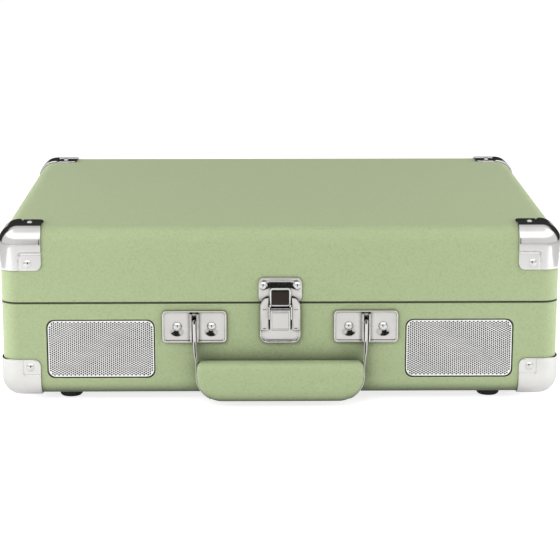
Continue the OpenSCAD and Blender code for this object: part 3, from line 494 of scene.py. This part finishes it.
def cap_shell(legs, grooves, half_width, levels):
    """Pressed cap round one corner of the body, in the frame of the corner's rounding, in mm.

    legs are the lengths along x, y and z. On every face an L-shaped groove at the distances in
    grooves parts the raised corner from the lower pad that the nail sits on."""
    radius = EDGE_RADIUS / MM
    raised, pad, depth = levels
    # Width of the rolled rim, radius of the free corners and of the groove's bend, and depth of the inside.
    soft_rim, tip, bend, sunk = 0.6, 4.6, 1.6, 0.06
    index, outer, inner, faces = {}, [], [], []

    def surface_level(a, b, first, second):
        """Height of the sheet over the body, at distances a and b from where the rounding starts."""
        da, db = a - grooves[first] + bend, b - grooves[second] + bend
        distance = math.hypot(max(da, 0), max(db, 0)) - bend + min(max(da, db), 0)
        level = pad + (raised - pad) * smooth_step(distance, -half_width, half_width)
        if abs(distance) < half_width:
            level -= depth * (1 + math.cos(math.pi * distance / half_width)) / 2
        return level

    def rim_distance(ya, pa, yb, pb, flat_a, flat_b):
        """How far a point lies from the cap's nearest free edge."""
        if pa > 0 and pb > 0:
            return soft_rim
        if pb > 0:
            return ya + flat_a
        if pa > 0:
            return yb + flat_b
        return min(ya + flat_a, yb + flat_b)

    def vertex(axis, first, second, a, b):
        """Number of the point at grid lines a and b of one face; faces share the points they meet in."""
        (ya, pa), (yb, pb) = a, b
        flat_a, flat_b = legs[first] - radius, legs[second] - radius
        rim = rim_distance(ya, pa, yb, pb, flat_a, flat_b)
        ua = (-ya - (flat_a - tip)) / tip
        ub = (-yb - (flat_b - tip)) / tip
        if ua > 0 and ub > 0:
            ya = -(flat_a - tip) - tip * ua * math.sqrt(1 - ub * ub / 2)
            yb = -(flat_b - tip) - tip * ub * math.sqrt(1 - ua * ua / 2)
        normal = [0.0, 0.0, 0.0]
        normal[axis] = 1.0
        normal[first] = math.tan(math.radians(pa))
        normal[second] = math.tan(math.radians(pb))
        normal = Vector(normal).normalized()
        centre = [0.0, 0.0, 0.0]
        centre[first], centre[second] = ya, yb
        centre = Vector(centre)
        level = surface_level(ya + radius * math.radians(pa), yb + radius * math.radians(pb), first, second)
        roll = min(max(rim / soft_rim, 0.0), 1.0)
        level *= math.sqrt(1 - (1 - roll) ** 2) * 0.94 + 0.06
        base = centre + normal * radius
        key = tuple(round(c, 5) for c in base)
        if key not in index:
            index[key] = len(outer)
            outer.append(centre + normal * (radius + level))
            inner.append(centre + normal * (radius - sunk))
        return index[key]

    for axis in range(3):
        first, second = (axis + 1) % 3, (axis + 2) % 3
        lines_a = cap_lines(legs[first], grooves[first], half_width)
        lines_b = cap_lines(legs[second], grooves[second], half_width)
        grid = [[vertex(axis, first, second, a, b) for b in lines_b] for a in lines_a]
        for i in range(len(lines_a) - 1):
            for j in range(len(lines_b) - 1):
                faces.append((grid[i][j], grid[i + 1][j], grid[i + 1][j + 1], grid[i][j + 1]))
    uses = {}
    for face in faces:
        for k in range(4):
            a, b = face[k], face[(k + 1) % 4]
            uses.setdefault((min(a, b), max(a, b)), []).append((a, b))
    total = len(outer)
    shell = faces + [tuple(i + total for i in face[::-1]) for face in faces]
    for pairs in uses.values():
        if len(pairs) == 1:
            a, b = pairs[0]
            shell.append((b, a, a + total, b + total))
    return outer + inner, shell


def corner_caps(name, cad_node, body, legs, groove, level, up):
    """Four caps of one half, mirrored from the right rear corner."""
    verts, faces = cap_shell(legs, *groove)
    caps = []
    for sx in (1, -1):
        for sy in (1, -1):
            placed = []
            for v in verts:
                placed.append(Vector((sx * (HALF_WIDTH - EDGE_RADIUS + v.x * MM),
                                      MIDDLE_Y + sy * (BACK - MIDDLE_Y - EDGE_RADIUS + v.y * MM),
                                      level + up * v.z * MM)))
            caps.append((placed, faces))
    verts, faces = merged(caps)
    piece = add_mesh(name, verts, faces, MATERIALS["chrome"], body, 60)
    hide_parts(cad_node)


def cap_leg(node_name):
    """Length in mm of a cap along the body's width, read from its CAD node's right rear corner."""
    vertices = NODES[node_name].data.vertices
    inner_end = min(v.co.x for v in vertices if v.co.x > 0 and v.co.y > MIDDLE_Y)
    return (HALF_WIDTH - inner_end) / MM


LID_LEG = cap_leg("lid_corner_caps")
LID_LEG_Z = (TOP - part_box("lid_corner_caps")[0].z) / MM
BASE_LEG = cap_leg("base_corner_caps")
BASE_LEG_Z = (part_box("base_corner_caps")[1].z - BOTTOM) / MM
# Each groove: its distances along x, y and z, its half width, and (raised level, pad level, depth), in mm.
LID_GROOVE = ((-1.7, -1.7, -4.3), 1.15, (1.4, 1.0, 0.75))
BASE_GROOVE = ((-2.7, -2.7, -3.4), 0.55, (1.15, 0.95, 0.32))
corner_caps("lid_caps", "lid_corner_caps", "lid", (LID_LEG, LID_LEG, LID_LEG_Z), LID_GROOVE,
            TOP - EDGE_RADIUS, 1)
corner_caps("base_caps", "base_corner_caps", "base", (BASE_LEG, BASE_LEG, BASE_LEG_Z), BASE_GROOVE,
            BOTTOM + EDGE_RADIUS, -1)


# ---------------------------------------------------------------- speaker grilles

def perforated_plate(name, cad_node, pitch=1.5, hole=1.2, margin=0.95):
    """Plate with staggered round holes, cut from a filled 2D curve; pitch, hole and margin are in mm."""
    lo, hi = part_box(cad_node)
    gap, corner, sides = 1.1, 4.7, 10
    width, height = (hi.x - lo.x) / MM - gap, (hi.z - lo.z) / MM - gap
    curve = bpy.data.curves.new(name + "_outline", "CURVE")
    curve.dimensions = "2D"
    curve.fill_mode = "BOTH"
    curve.extrude = 0.22

    def add_loop(points):
        spline = curve.splines.new("POLY")
        spline.points.add(len(points) - 1)
        for point, (x, y) in zip(spline.points, points):
            point.co = (x, y, 0, 1)
        spline.use_cyclic_u = True

    add_loop(rounded_outline(width, height, corner, 10))
    column = pitch * math.sqrt(3) / 2
    columns, rows = int((width / 2 - margin) / column), int((height / 2 - margin) / pitch) + 1
    inner = corner - margin
    for i in range(-columns, columns + 1):
        for j in range(-rows, rows + 1):
            x, y = i * column, (j + (i % 2) / 2) * pitch
            if abs(y) > height / 2 - margin:
                continue
            dx = max(abs(x) - (width / 2 - margin - inner), 0)
            dy = max(abs(y) - (height / 2 - margin - inner), 0)
            if math.hypot(dx, dy) > inner:
                continue
            add_loop([(x + hole / 2 * math.cos(2 * math.pi * k / sides),
                       y + hole / 2 * math.sin(2 * math.pi * k / sides)) for k in range(sides)])
    temp = bpy.data.objects.new(name + "_temp", curve)
    bpy.context.scene.collection.objects.link(temp)
    mesh = bpy.data.meshes.new_from_object(temp.evaluated_get(bpy.context.evaluated_depsgraph_get()))
    bpy.data.objects.remove(temp)
    bpy.data.curves.remove(curve)
    place = facing_front((lo.x + hi.x) / 2, (lo.z + hi.z) / 2, FRONT - lo.y - 0.32 * MM)
    bm = bmesh.new()
    bm.from_mesh(mesh)
    bmesh.ops.remove_doubles(bm, verts=bm.verts, dist=1e-4)
    verts = [place @ (v.co * MM) for v in bm.verts]
    faces = [tuple(v.index for v in face.verts) for face in bm.faces]
    bm.free()
    piece = add_mesh(name, verts, faces, MATERIALS["grille_metal"], "base", 50)
    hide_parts(cad_node)


def lip(name, outline_of, place, profile, body):
    """Rounded leather edge that follows an outline; profile lists (offset outwards, height) in mm."""
    rings = []
    for offset, level in profile:
        rings.append([place @ Vector((x, y, level * MM)) for x, y in outline_of(offset * MM)])
    count = len(rings[0])
    verts = [p for ring in rings for p in ring]
    faces = []
    for k in range(len(rings)):
        after = (k + 1) % len(rings)
        for i in range(count):
            j = (i + 1) % count
            faces.append((k * count + i, k * count + j, after * count + j, after * count + i))
    add_mesh(name, verts, faces, MATERIALS["covering"], body, 60)


def seam_lips():
    """The covering turns over both rims, leaving a soft edge above and below the seam."""
    def body_outline(offset):
        width, depth = 2 * (HALF_WIDTH + offset), BACK - FRONT + 2 * offset
        return rounded_outline(width, depth, EDGE_RADIUS + offset, 8)

    bead = [(-0.5, -1.9), (0.0, -1.9), (0.14, -1.5), (0.24, -1.1), (0.2, -0.7), (0.05, -0.45),
            (-0.3, -0.38)]
    for name, level, up, body in (("base_lip", BASE_HI.z, 1, "base"), ("lid_lip", LID_LO.z, -1, "lid")):
        place = Matrix(((1, 0, 0, 0), (0, 1, 0, MIDDLE_Y), (0, 0, up, level), (0, 0, 0, 1)))
        lip(name, body_outline, place, bead, body)


def grille_lip(name, cad_node):
    """Soft edge of the covering round a grille's opening."""
    lo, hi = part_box(cad_node)
    width, height = hi.x - lo.x + 0.8 * MM, hi.z - lo.z + 0.8 * MM

    def opening(offset):
        return rounded_outline(width + 2 * offset, height + 2 * offset, 5.1 * MM + offset, 8)

    bead = [(0.1, -0.6), (-0.1, -0.35), (-0.12, -0.1), (0.1, 0.12), (0.5, 0.2), (1.0, 0.14),
            (1.5, -0.02), (1.5, -0.6)]
    lip(name, opening, facing_front((lo.x + hi.x) / 2, (lo.z + hi.z) / 2), bead, "base")


def grille_cloth(name, cad_node):
    """Dark cloth stretched behind a grille, across the opening in the wooden wall; where it shows in the
    gap round the plate, its black is a painted shadow of the covering's edge.
    """
    lo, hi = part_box(cad_node)
    centre_x, centre_z = (lo.x + hi.x) / 2, (lo.z + hi.z) / 2
    width, height = (hi.x - lo.x) / MM + 0.7, (hi.z - lo.z) / MM + 0.7
    sag = [(0.0, 0.0), (0.0, 0.1), (0.5, 0.14), (6.0, 0.16), (14.0, 0.17)]
    place = facing_front(centre_x, centre_z, FRONT - hi.y + 0.02 * MM)
    verts, faces = pressed_plate(width, height, 4.2, sag, place)
    add_mesh(name, verts, faces, MATERIALS["cone_paper"], "base", 50)


perforated_plate("grille_plate_left", "speaker_grille_left")
perforated_plate("grille_plate_right", "speaker_grille_right")
grille_cloth("grille_cloth_left", "speaker_grille_left")
grille_cloth("grille_cloth_right", "speaker_grille_right")
grille_lip("grille_lip_left", "speaker_grille_left")
grille_lip("grille_lip_right", "speaker_grille_right")
seam_lips()


# ---------------------------------------------------------------- handle

# How far, in mm, the two nails of a plate sit from its middle.
NAIL_SPREAD = 10.9
GRIP_CORNER = 16 * MM


def bracket_tray():
    """Pressed tray with a rounded rim, and the slotted housing of the strap's eye."""
    lo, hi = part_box("handle_brackets")
    level = (lo.z + hi.z) / 2
    height = (hi.z - lo.z) / MM
    width = 41.3
    x = hi.x - width / 2 * MM
    out = (FRONT - lo.y) / MM
    rim = [(0.25, -0.05), (0, 0.25), (0, 1.2), (0.12, 1.75), (0.4, 2.1), (0.8, 2.2), (1.15, 2.05),
           (1.4, 1.65), (1.55, 1.4), (1.8, 1.32), (2.1, 1.3)]

    def hollows(px, py):
        return sum(dimple(px, py, side * NAIL_SPREAD, -0.3, 7.2, 1.22) for side in (1, -1))

    front = facing_front(x, level)
    tray = pressed_plate(width, height, 2.7, rim, front, 26, hollows)
    tall, inner, thick, back = height - 3.0, 1.4, 1.5, 0.7
    housing = []
    for side in (1, -1):
        profile = [(inner, back), (inner, out - 1.1), (inner + 0.25, out - 0.35), (inner + 0.7, out - 0.5),
                   (inner + 1.15, out - 1.2), (inner + thick, out - 2.4), (inner + thick, back)]
        sections = ((-tall / 2, 0.25), (-tall / 2 + 0.15, 0.0), (tall / 2 - 0.6, 0.0), (tall / 2, 0.9))
        rings = []
        for y, shrink in sections:
            rings.append([front @ Vector((side * px * MM, y * MM, max(pz - shrink, back) * MM))
                          for px, pz in profile])
        housing.append(loft(rings))
    bridge_rings = []
    for y, drop in ((tall / 2 - 1.3, 0.3), (tall / 2 - 1.1, 0.0), (tall / 2 - 0.6, 0.0), (tall / 2, 0.9)):
        top = out - 3.4 - drop
        bridge = [(-1.5, back), (1.5, back), (1.5, top), (0.7, top + 0.12), (-0.7, top + 0.12), (-1.5, top)]
        bridge_rings.append([front @ Vector((px * MM, y * MM, pz * MM)) for px, pz in bridge])
    housing.append(loft(bridge_rings))
    right = merged([tray] + housing)
    verts, faces = merged([right, mirrored(right)])
    piece = add_mesh("bracket_trays", verts, faces, NICKEL, "base", 40)
    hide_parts("handle_brackets")


def grip_wrap():
    """Leatherette wrapped round a core: a crowned form with large lower corners."""
    lo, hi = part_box("handle_grip")
    half, depth = hi.x, hi.y - lo.y
    big, small = GRIP_CORNER, 3.2 * MM
    columns, around = 72, 40
    # The section is a squarish oval; this power sets how square.
    power = 2 / 3.6
    rings = []
    for k in range(columns + 1):
        t = k / columns
        x = -half + 2 * half * (1 - math.cos(math.pi * t)) / 2
        edge = half - abs(x)
        rise = big - math.sqrt(max(big * big - max(big - edge, 0) ** 2, 0))
        drop = small - math.sqrt(max(small * small - max(small - edge, 0) ** 2, 0))
        bottom, top = lo.z + rise, hi.z - drop
        soft = min(edge / (2.2 * MM), 1.0)
        squeeze = math.sqrt(1 - (1 - soft) ** 2) * 0.22 + 0.78
        centre_y, centre_z = (lo.y + hi.y) / 2, (bottom + top) / 2
        ring = []
        for i in range(around):
            a = 2 * math.pi * i / around
            c, s = math.cos(a), math.sin(a)
            py = math.copysign(abs(c) ** power, c)
            pz = math.copysign(abs(s) ** power, s)
            ring.append(Vector((x, centre_y + py * depth / 2 * squeeze,
                                centre_z + pz * (top - bottom) / 2)))
        rings.append(ring)
    verts, faces = loft(rings)
    piece = add_mesh("grip_wrap", verts, faces, MATERIALS["covering"], "handle", 70)
    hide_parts("handle_grip")


def handle_straps():
    """Steel strap from each eye down to the grip, along its end and round its lower corner."""
    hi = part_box("handle_frame")[1]
    grip_lo, grip_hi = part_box("handle_grip")
    eye_z = hi.z - 2.4 * MM
    eye_y = FRONT - 4 * MM
    top_x = hi.x - 1.1 * MM
    gap = 0.35 * MM
    end_x = grip_hi.x + gap
    path = []
    # Height, side and depth of each section of the strap, then its width and thickness in mm.
    for z, x, y, wide, thick in (
            (eye_z + 2.3 * MM, top_x, eye_y, 1.2, 2.0), (eye_z + 1.7 * MM, top_x, eye_y, 3.6, 2.1),
            (eye_z, top_x, eye_y, 4.8, 2.2), (eye_z - 3 * MM, top_x, eye_y, 4.4, 2.2),
            (eye_z - 10 * MM, top_x - 0.1 * MM, eye_y - 0.3 * MM, 4.4, 2.1),
            (grip_hi.z + 6 * MM, top_x - 0.45 * MM, eye_y - 1.2 * MM, 4.6, 1.9),
            (grip_hi.z + 1 * MM, end_x + 0.25 * MM, eye_y - 2.6 * MM, 5.6, 1.5),
            (grip_hi.z - 4 * MM, end_x, eye_y - 3.9 * MM, 7.0, 1.1)):
        path.append((Vector((x, y, z)), wide, thick, 0.0))
    for i in range(9):
        a = 62 * i / 8
        bend = GRIP_CORNER + gap
        x = grip_hi.x - GRIP_CORNER + bend * math.cos(math.radians(a))
        z = grip_lo.z + GRIP_CORNER - bend * math.sin(math.radians(a))
        path.append((Vector((x, eye_y - 4.4 * MM, z)), 7.5 - 0.25 * i, 1.1 - 0.05 * i, a))
    rings = []
    for point, wide, thick, turn in path:
        a = math.radians(turn)
        across = Vector((math.cos(a), 0, -math.sin(a)))
        ring = []
        for ox, oy in rounded_outline(thick * MM, wide * MM, 0.45 * MM, 3):
            ring.append(point + across * ox + Vector((0, oy, 0)))
        rings.append(ring)
    right = loft(rings)
    verts, faces = merged([right, mirrored(right)])
    piece = add_mesh("handle_straps", verts, faces, MATERIALS["chrome"], "handle", 40)
    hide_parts("handle_frame")


bracket_tray()
grip_wrap()
handle_straps()


# ---------------------------------------------------------------- latch

def strike_plate():
    """Upper plate with a raised rim and the keeper that the hook's window sits over."""
    lo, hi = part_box("latch_strike")
    width, height = (hi.x - lo.x) / MM, (hi.z - lo.z) / MM
    rim = [(0.2, -0.05), (0, 0.2), (0, 0.9), (0.15, 1.25), (0.5, 1.42), (0.9, 1.3), (1.15, 1.0),
           (1.35, 0.95), (1.7, 0.9)]
    middle = (lo.z + hi.z) / 2
    nail_up = (SEAM - middle) / MM + 11.2

    def dish(px, py):
        corner_hollows = sum(dimple(px, py, side * NAIL_SPREAD, nail_up, 4.2, 0.3) for side in (1, -1))
        return corner_hollows - 0.65 * smooth_step(py, 0.0, height / 2 - 2.0)

    plate = pressed_plate(width, height, 3.4, rim, facing_front(0, middle), 22, dish)
    keeper_rim = [(0, 0.6), (0, 2.4), (0.15, 2.8), (0.5, 3.0)]
    keeper = pressed_plate(7, 2.8, 0.8, keeper_rim, facing_front(0, SEAM + 4.3 * MM))
    verts, faces = merged([plate, keeper])
    piece = add_mesh("strike_plate", verts, faces, NICKEL, "lid", 45)
    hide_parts("latch_strike")


def latch_case():
    """Lower body: a rimmed tray with a raised flat on each side of the lever."""
    lo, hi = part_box("latch_body")
    width = (hi.x - lo.x) / MM
    top = SEAM - 0.6 * MM
    height = (top - lo.z) / MM
    rim = [(0.3, -0.05), (0, 0.3), (0, 2.0), (0.15, 2.45), (0.5, 2.7), (0.85, 2.55), (1.1, 2.1),
           (1.3, 1.5), (1.7, 1.1), (2.3, 1.0), (5.0, 1.0)]
    tray = pressed_plate(width, height, 4.8, rim, facing_front(0, (lo.z + top) / 2))
    flat_low, flat_high = lo.z + 8.6 * MM, hi.z
    inner, outer_x, bend = 7.3, width / 2 - 0.3, 5.6
    profile = [(inner, flat_low / MM), (outer_x, flat_low / MM)]
    profile += arc(outer_x - bend, flat_high / MM - bend, bend, 0, 86, 8)
    profile += [(inner, flat_high / MM - 0.05)]
    centre = sum((Vector(p) for p in profile), Vector((0, 0))) / len(profile)
    rings = []
    edge = ((0, 1.0), (0, 3.3), (0.12, 3.75), (0.45, 4.0), (0.8, 3.85), (0.95, 3.7), (1.2, 3.66))
    for inset, out in edge:
        ring = []
        for px, pz in profile:
            offset = Vector((px, pz)) - centre
            scale_x = 1 - inset / abs(outer_x - inner) * 2
            scale_z = 1 - inset / (flat_high - flat_low) * 2 * MM
            p = centre + Vector((offset.x * scale_x, offset.y * scale_z))
            back = 1.35 if pz * MM > top and out < 1.35 else out
            ring.append(facing_front(0, 0) @ Vector((p.x * MM, p.y * MM, back * MM)))
        rings.append(ring)
    flat = loft(rings)
    verts, faces = merged([tray, flat, mirrored(flat)])
    piece = add_mesh("latch_case", verts, faces, NICKEL, "base", 45)
    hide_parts("latch_body")
    # Painted shade: a black sheet at the bottom of the lever's channel, so the gaps beside the lever read
    # dark as shadowed hollows.
    channel_rim = [(0.1, 1.02), (0, 1.06), (0.1, 1.12), (2, 1.12)]
    verts, faces = pressed_plate(14.4, (top - flat_low) / MM, 0.3, channel_rim,
                                 facing_front(0, (flat_low + top) / 2))
    add_mesh("latch_channel_shade", verts, faces, MATERIALS["black_plastic"], "base", 45)


def facing_side(side, x, out, z, along=1):
    """Frame on one side of the latch: local Z points away from the middle, local X along the depth."""
    return Matrix(((0, 0, side, side * x * MM), (along, 0, 0, FRONT - out * MM),
                   (0, 1, 0, z), (0, 0, 0, 1)))


def lever_flap():
    """Finger flap with a pressed panel, a lug at each side of its upper end and a stub below each lug."""
    lo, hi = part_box("latch_lever")
    width, height = 12.8, 13.4
    centre = hi.z - (1.6 + height / 2) * MM
    out = (FRONT - lo.y) / MM
    back = out - 1.1
    rim = [(0.25, back), (0, back + 0.2), (0, out - 0.45), (0.12, out - 0.15), (0.4, out),
           (0.75, out - 0.05), (0.95, out - 0.3), (1.15, out - 0.34), (1.35, out - 0.12), (1.6, out - 0.04),
           (1.9, out - 0.03), (4.0, out - 0.03)]
    parts = [pressed_plate(width, height, 1.5, rim, facing_front(0, centre))]
    pin_z = hi.z - 1.2 * MM
    lug_x = 5.2
    for side in (1, -1):
        parts.append(pressed_plate(2.6, 3.4, 1.0, [(0, 0), (0, 1.2)],
                                   facing_side(side, lug_x, 4.2, pin_z - 2.0 * MM, -1)))
        parts.append(lathe([(0.68, 0), (0.68, 2.2), (0.4, 2.3)],
                           facing_side(side, lug_x, 4.7, SEAM - 8.5 * MM), 16))
    verts, faces = merged(parts)
    piece = add_mesh("lever_flap", verts, faces, NICKEL, "latch_lever", 45)
    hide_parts("latch_lever")


def window_hook():
    """Bright frame with a panel coloured near black as a painted reflection, on two side arms."""
    lo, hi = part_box("latch_hook")
    width, height = 13.4, 11.8
    centre = hi.z - height / 2 * MM
    rim = [(1.3, 2.45), (0.3, 2.4), (0, 2.6), (0, 3.3), (0.15, 3.65), (0.5, 3.8), (0.85, 3.7), (1.05, 3.45),
           (1.1, 3.2)]
    parts = [pressed_plate(width, height, 1.9, rim, facing_front(0, centre))]
    for side in (1, -1):
        place = facing_front(side * 7.05 * MM, (lo.z + hi.z - height * MM) / 2 + 0.6 * MM)
        arm_height = (hi.z - height * MM - lo.z) / MM + 1.6
        parts.append(pressed_plate(0.9, arm_height, 0.4, [(0, 4.1), (0, 5.2), (0.15, 5.4)], place))
        bridge = facing_front(side * 6.6 * MM, hi.z - (height - 0.7) * MM)
        parts.append(pressed_plate(1.8, 1.4, 0.4, [(0, 2.5), (0, 5.2), (0.15, 5.4)], bridge))
    verts, faces = merged(parts)
    piece = add_mesh("window_hook", verts, faces, MATERIALS["chrome"], "latch_hook", 45)
    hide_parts("latch_hook")
    panel_rim = [(0.1, 3.1), (0, 3.15), (0, 3.3), (0.3, 3.36), (2.5, 3.4)]
    verts, faces = pressed_plate(width - 2.1, height - 2.1, 1.0, panel_rim, facing_front(0, centre))
    add_mesh("hook_panel", verts, faces, PAINTED_DARK_REFLECTION, "latch_hook", 45)


strike_plate()
latch_case()
lever_flap()
window_hook()


# ---------------------------------------------------------------- studio

# Brightness of the surroundings from the horizon (0) to straight up (1).
DOME = ((0.0, 0.27), (1.0, 0.36))
FRONT_SCREEN = ((0.0, 0.66), (0.5, 0.7), (0.6, 1.2), (0.9, 1.2), (1.0, 0.7))
BACK_SCREEN = ((0.0, 0.03), (0.7, 0.03), (0.82, 0.55), (1.0, 0.7))


def floor():
    """Plain pale floor, large enough to fill the view; it glows a little so it stays near white."""
    material, tree, shader = new_material("pale_floor")
    cloud = noise(tree, coordinates(tree), 3, 2)
    link(tree, ramp(tree, cloud, ((0.3, 0.54), (0.7, 0.56))), shader.inputs["Base Color"])
    shader.inputs["Roughness"].default_value = 0.9
    shader.inputs["Emission Color"].default_value = (1, 1, 1, 1)
    path = tree.nodes.new("ShaderNodeLightPath")
    seen = mix_value(tree, path.outputs["Is Camera Ray"], 0.62, "MULTIPLY")
    bounced = mix_value(tree, path.outputs["Is Diffuse Ray"], 0.24, "MULTIPLY")
    glow = mix_value(tree, mix_value(tree, seen, bounced), 0.16)
    link(tree, glow, shader.inputs["Emission Strength"])
    mesh = bpy.data.meshes.new("studio_floor")
    size = 14
    corners = [(-size, -size, 0), (size, -size, 0), (size, size, 0), (-size, size, 0)]
    mesh.from_pydata(corners, [], [(0, 1, 2, 3)])
    mesh.materials.append(material)
    plane = bpy.data.objects.new("studio_floor", mesh)
    bpy.context.scene.collection.objects.link(plane)


def area_light(name, place, aim, size, power):
    """Soft rectangular light that chrome doesn't mirror."""
    data = bpy.data.lights.new(name, "AREA")
    data.shape = "RECTANGLE"
    data.size, data.size_y = size
    data.energy = power
    lamp = bpy.data.objects.new(name, data)
    lamp.location = place
    lamp.rotation_euler = (Vector(aim) - Vector(place)).to_track_quat("-Z", "Y").to_euler()
    lamp.visible_glossy = False
    bpy.context.scene.collection.objects.link(lamp)


def surroundings():
    """White to the camera; a soft dome as light; for reflections, a bright front and a dark back screen."""
    world = bpy.data.worlds.new("studio")
    bpy.context.scene.world = world
    world.use_nodes = True
    tree = world.node_tree
    background = tree.nodes["Background"]
    coord = tree.nodes.new("ShaderNodeTexCoord")
    split = tree.nodes.new("ShaderNodeSeparateXYZ")
    link(tree, coord.outputs["Generated"], split.inputs["Vector"])
    height = split.outputs["Z"]
    is_back = ramp(tree, split.outputs["Y"], ((0.08, 0.0), (0.25, 1.0)))
    studio = blend_colour(tree, is_back, ramp(tree, height, FRONT_SCREEN), ramp(tree, height, BACK_SCREEN))
    path = tree.nodes.new("ShaderNodeLightPath")
    light = blend_colour(tree, path.outputs["Is Glossy Ray"], ramp(tree, height, DOME), studio)
    light = blend_colour(tree, path.outputs["Is Camera Ray"], light, (1, 1, 1, 1))
    link(tree, light, background.inputs["Color"])
    background.inputs["Strength"].default_value = 1.0


def dark_card():
    """Dark standing card behind the camera, seen only in reflections, that gives chrome black accents."""
    material, tree, shader = new_material("dark_card")
    cloud = noise(tree, coordinates(tree), 2, 2)
    link(tree, ramp(tree, cloud, ((0.3, 0.008), (0.7, 0.012))), shader.inputs["Base Color"])
    shader.inputs["Roughness"].default_value = 1.0
    width, height, distance = 0.6, 0.95, 1.3
    outline = rounded_outline(width, height, 0.2, 8)
    mesh = bpy.data.meshes.new("dark_card")
    verts = [(x, FRONT - distance, height / 2 + z) for x, z in outline]
    mesh.from_pydata(verts, [], [tuple(range(len(outline)))])
    mesh.materials.append(material)
    card = bpy.data.objects.new("dark_card", mesh)
    bpy.context.scene.collection.objects.link(card)
    card.visible_camera = False
    card.visible_diffuse = False
    card.visible_shadow = False


def camera():
    """Long lens in front of the part, looking slightly down and to the right."""
    aside, away, height = -0.0135, 1.15, 0.356
    tilt, turn = 13.46, -0.666
    data = bpy.data.cameras.new("front_camera")
    data.sensor_width = 36
    data.lens = 119.9
    data.clip_end = 60
    cam = bpy.data.objects.new("front_camera", data)
    cam.location = (aside, FRONT - away, height)
    cam.rotation_euler = (math.radians(90 - tilt), 0, math.radians(turn))
    bpy.context.scene.collection.objects.link(cam)
    bpy.context.scene.camera = cam


floor()
surroundings()
dark_card()
for side in (-1, 1):
    area_light("side", (side * 0.52, -0.1, 0.16), (0, -0.1, 0.08), (0.8, 0.3), 2.4)
area_light("key", (-0.6, -1.7, 1.5), (0, 0, 0.06), (1.3, 0.9), 18.5)
area_light("low", (-0.9, -1.6, 0.25), (0, 0, 0.05), (1.2, 0.4), 3)
area_light("top", (0.1, 0.1, 1.8), (0, 0, 0), (1.4, 1.1), 12)
bpy.context.scene.view_settings.view_transform = "Standard"
camera()
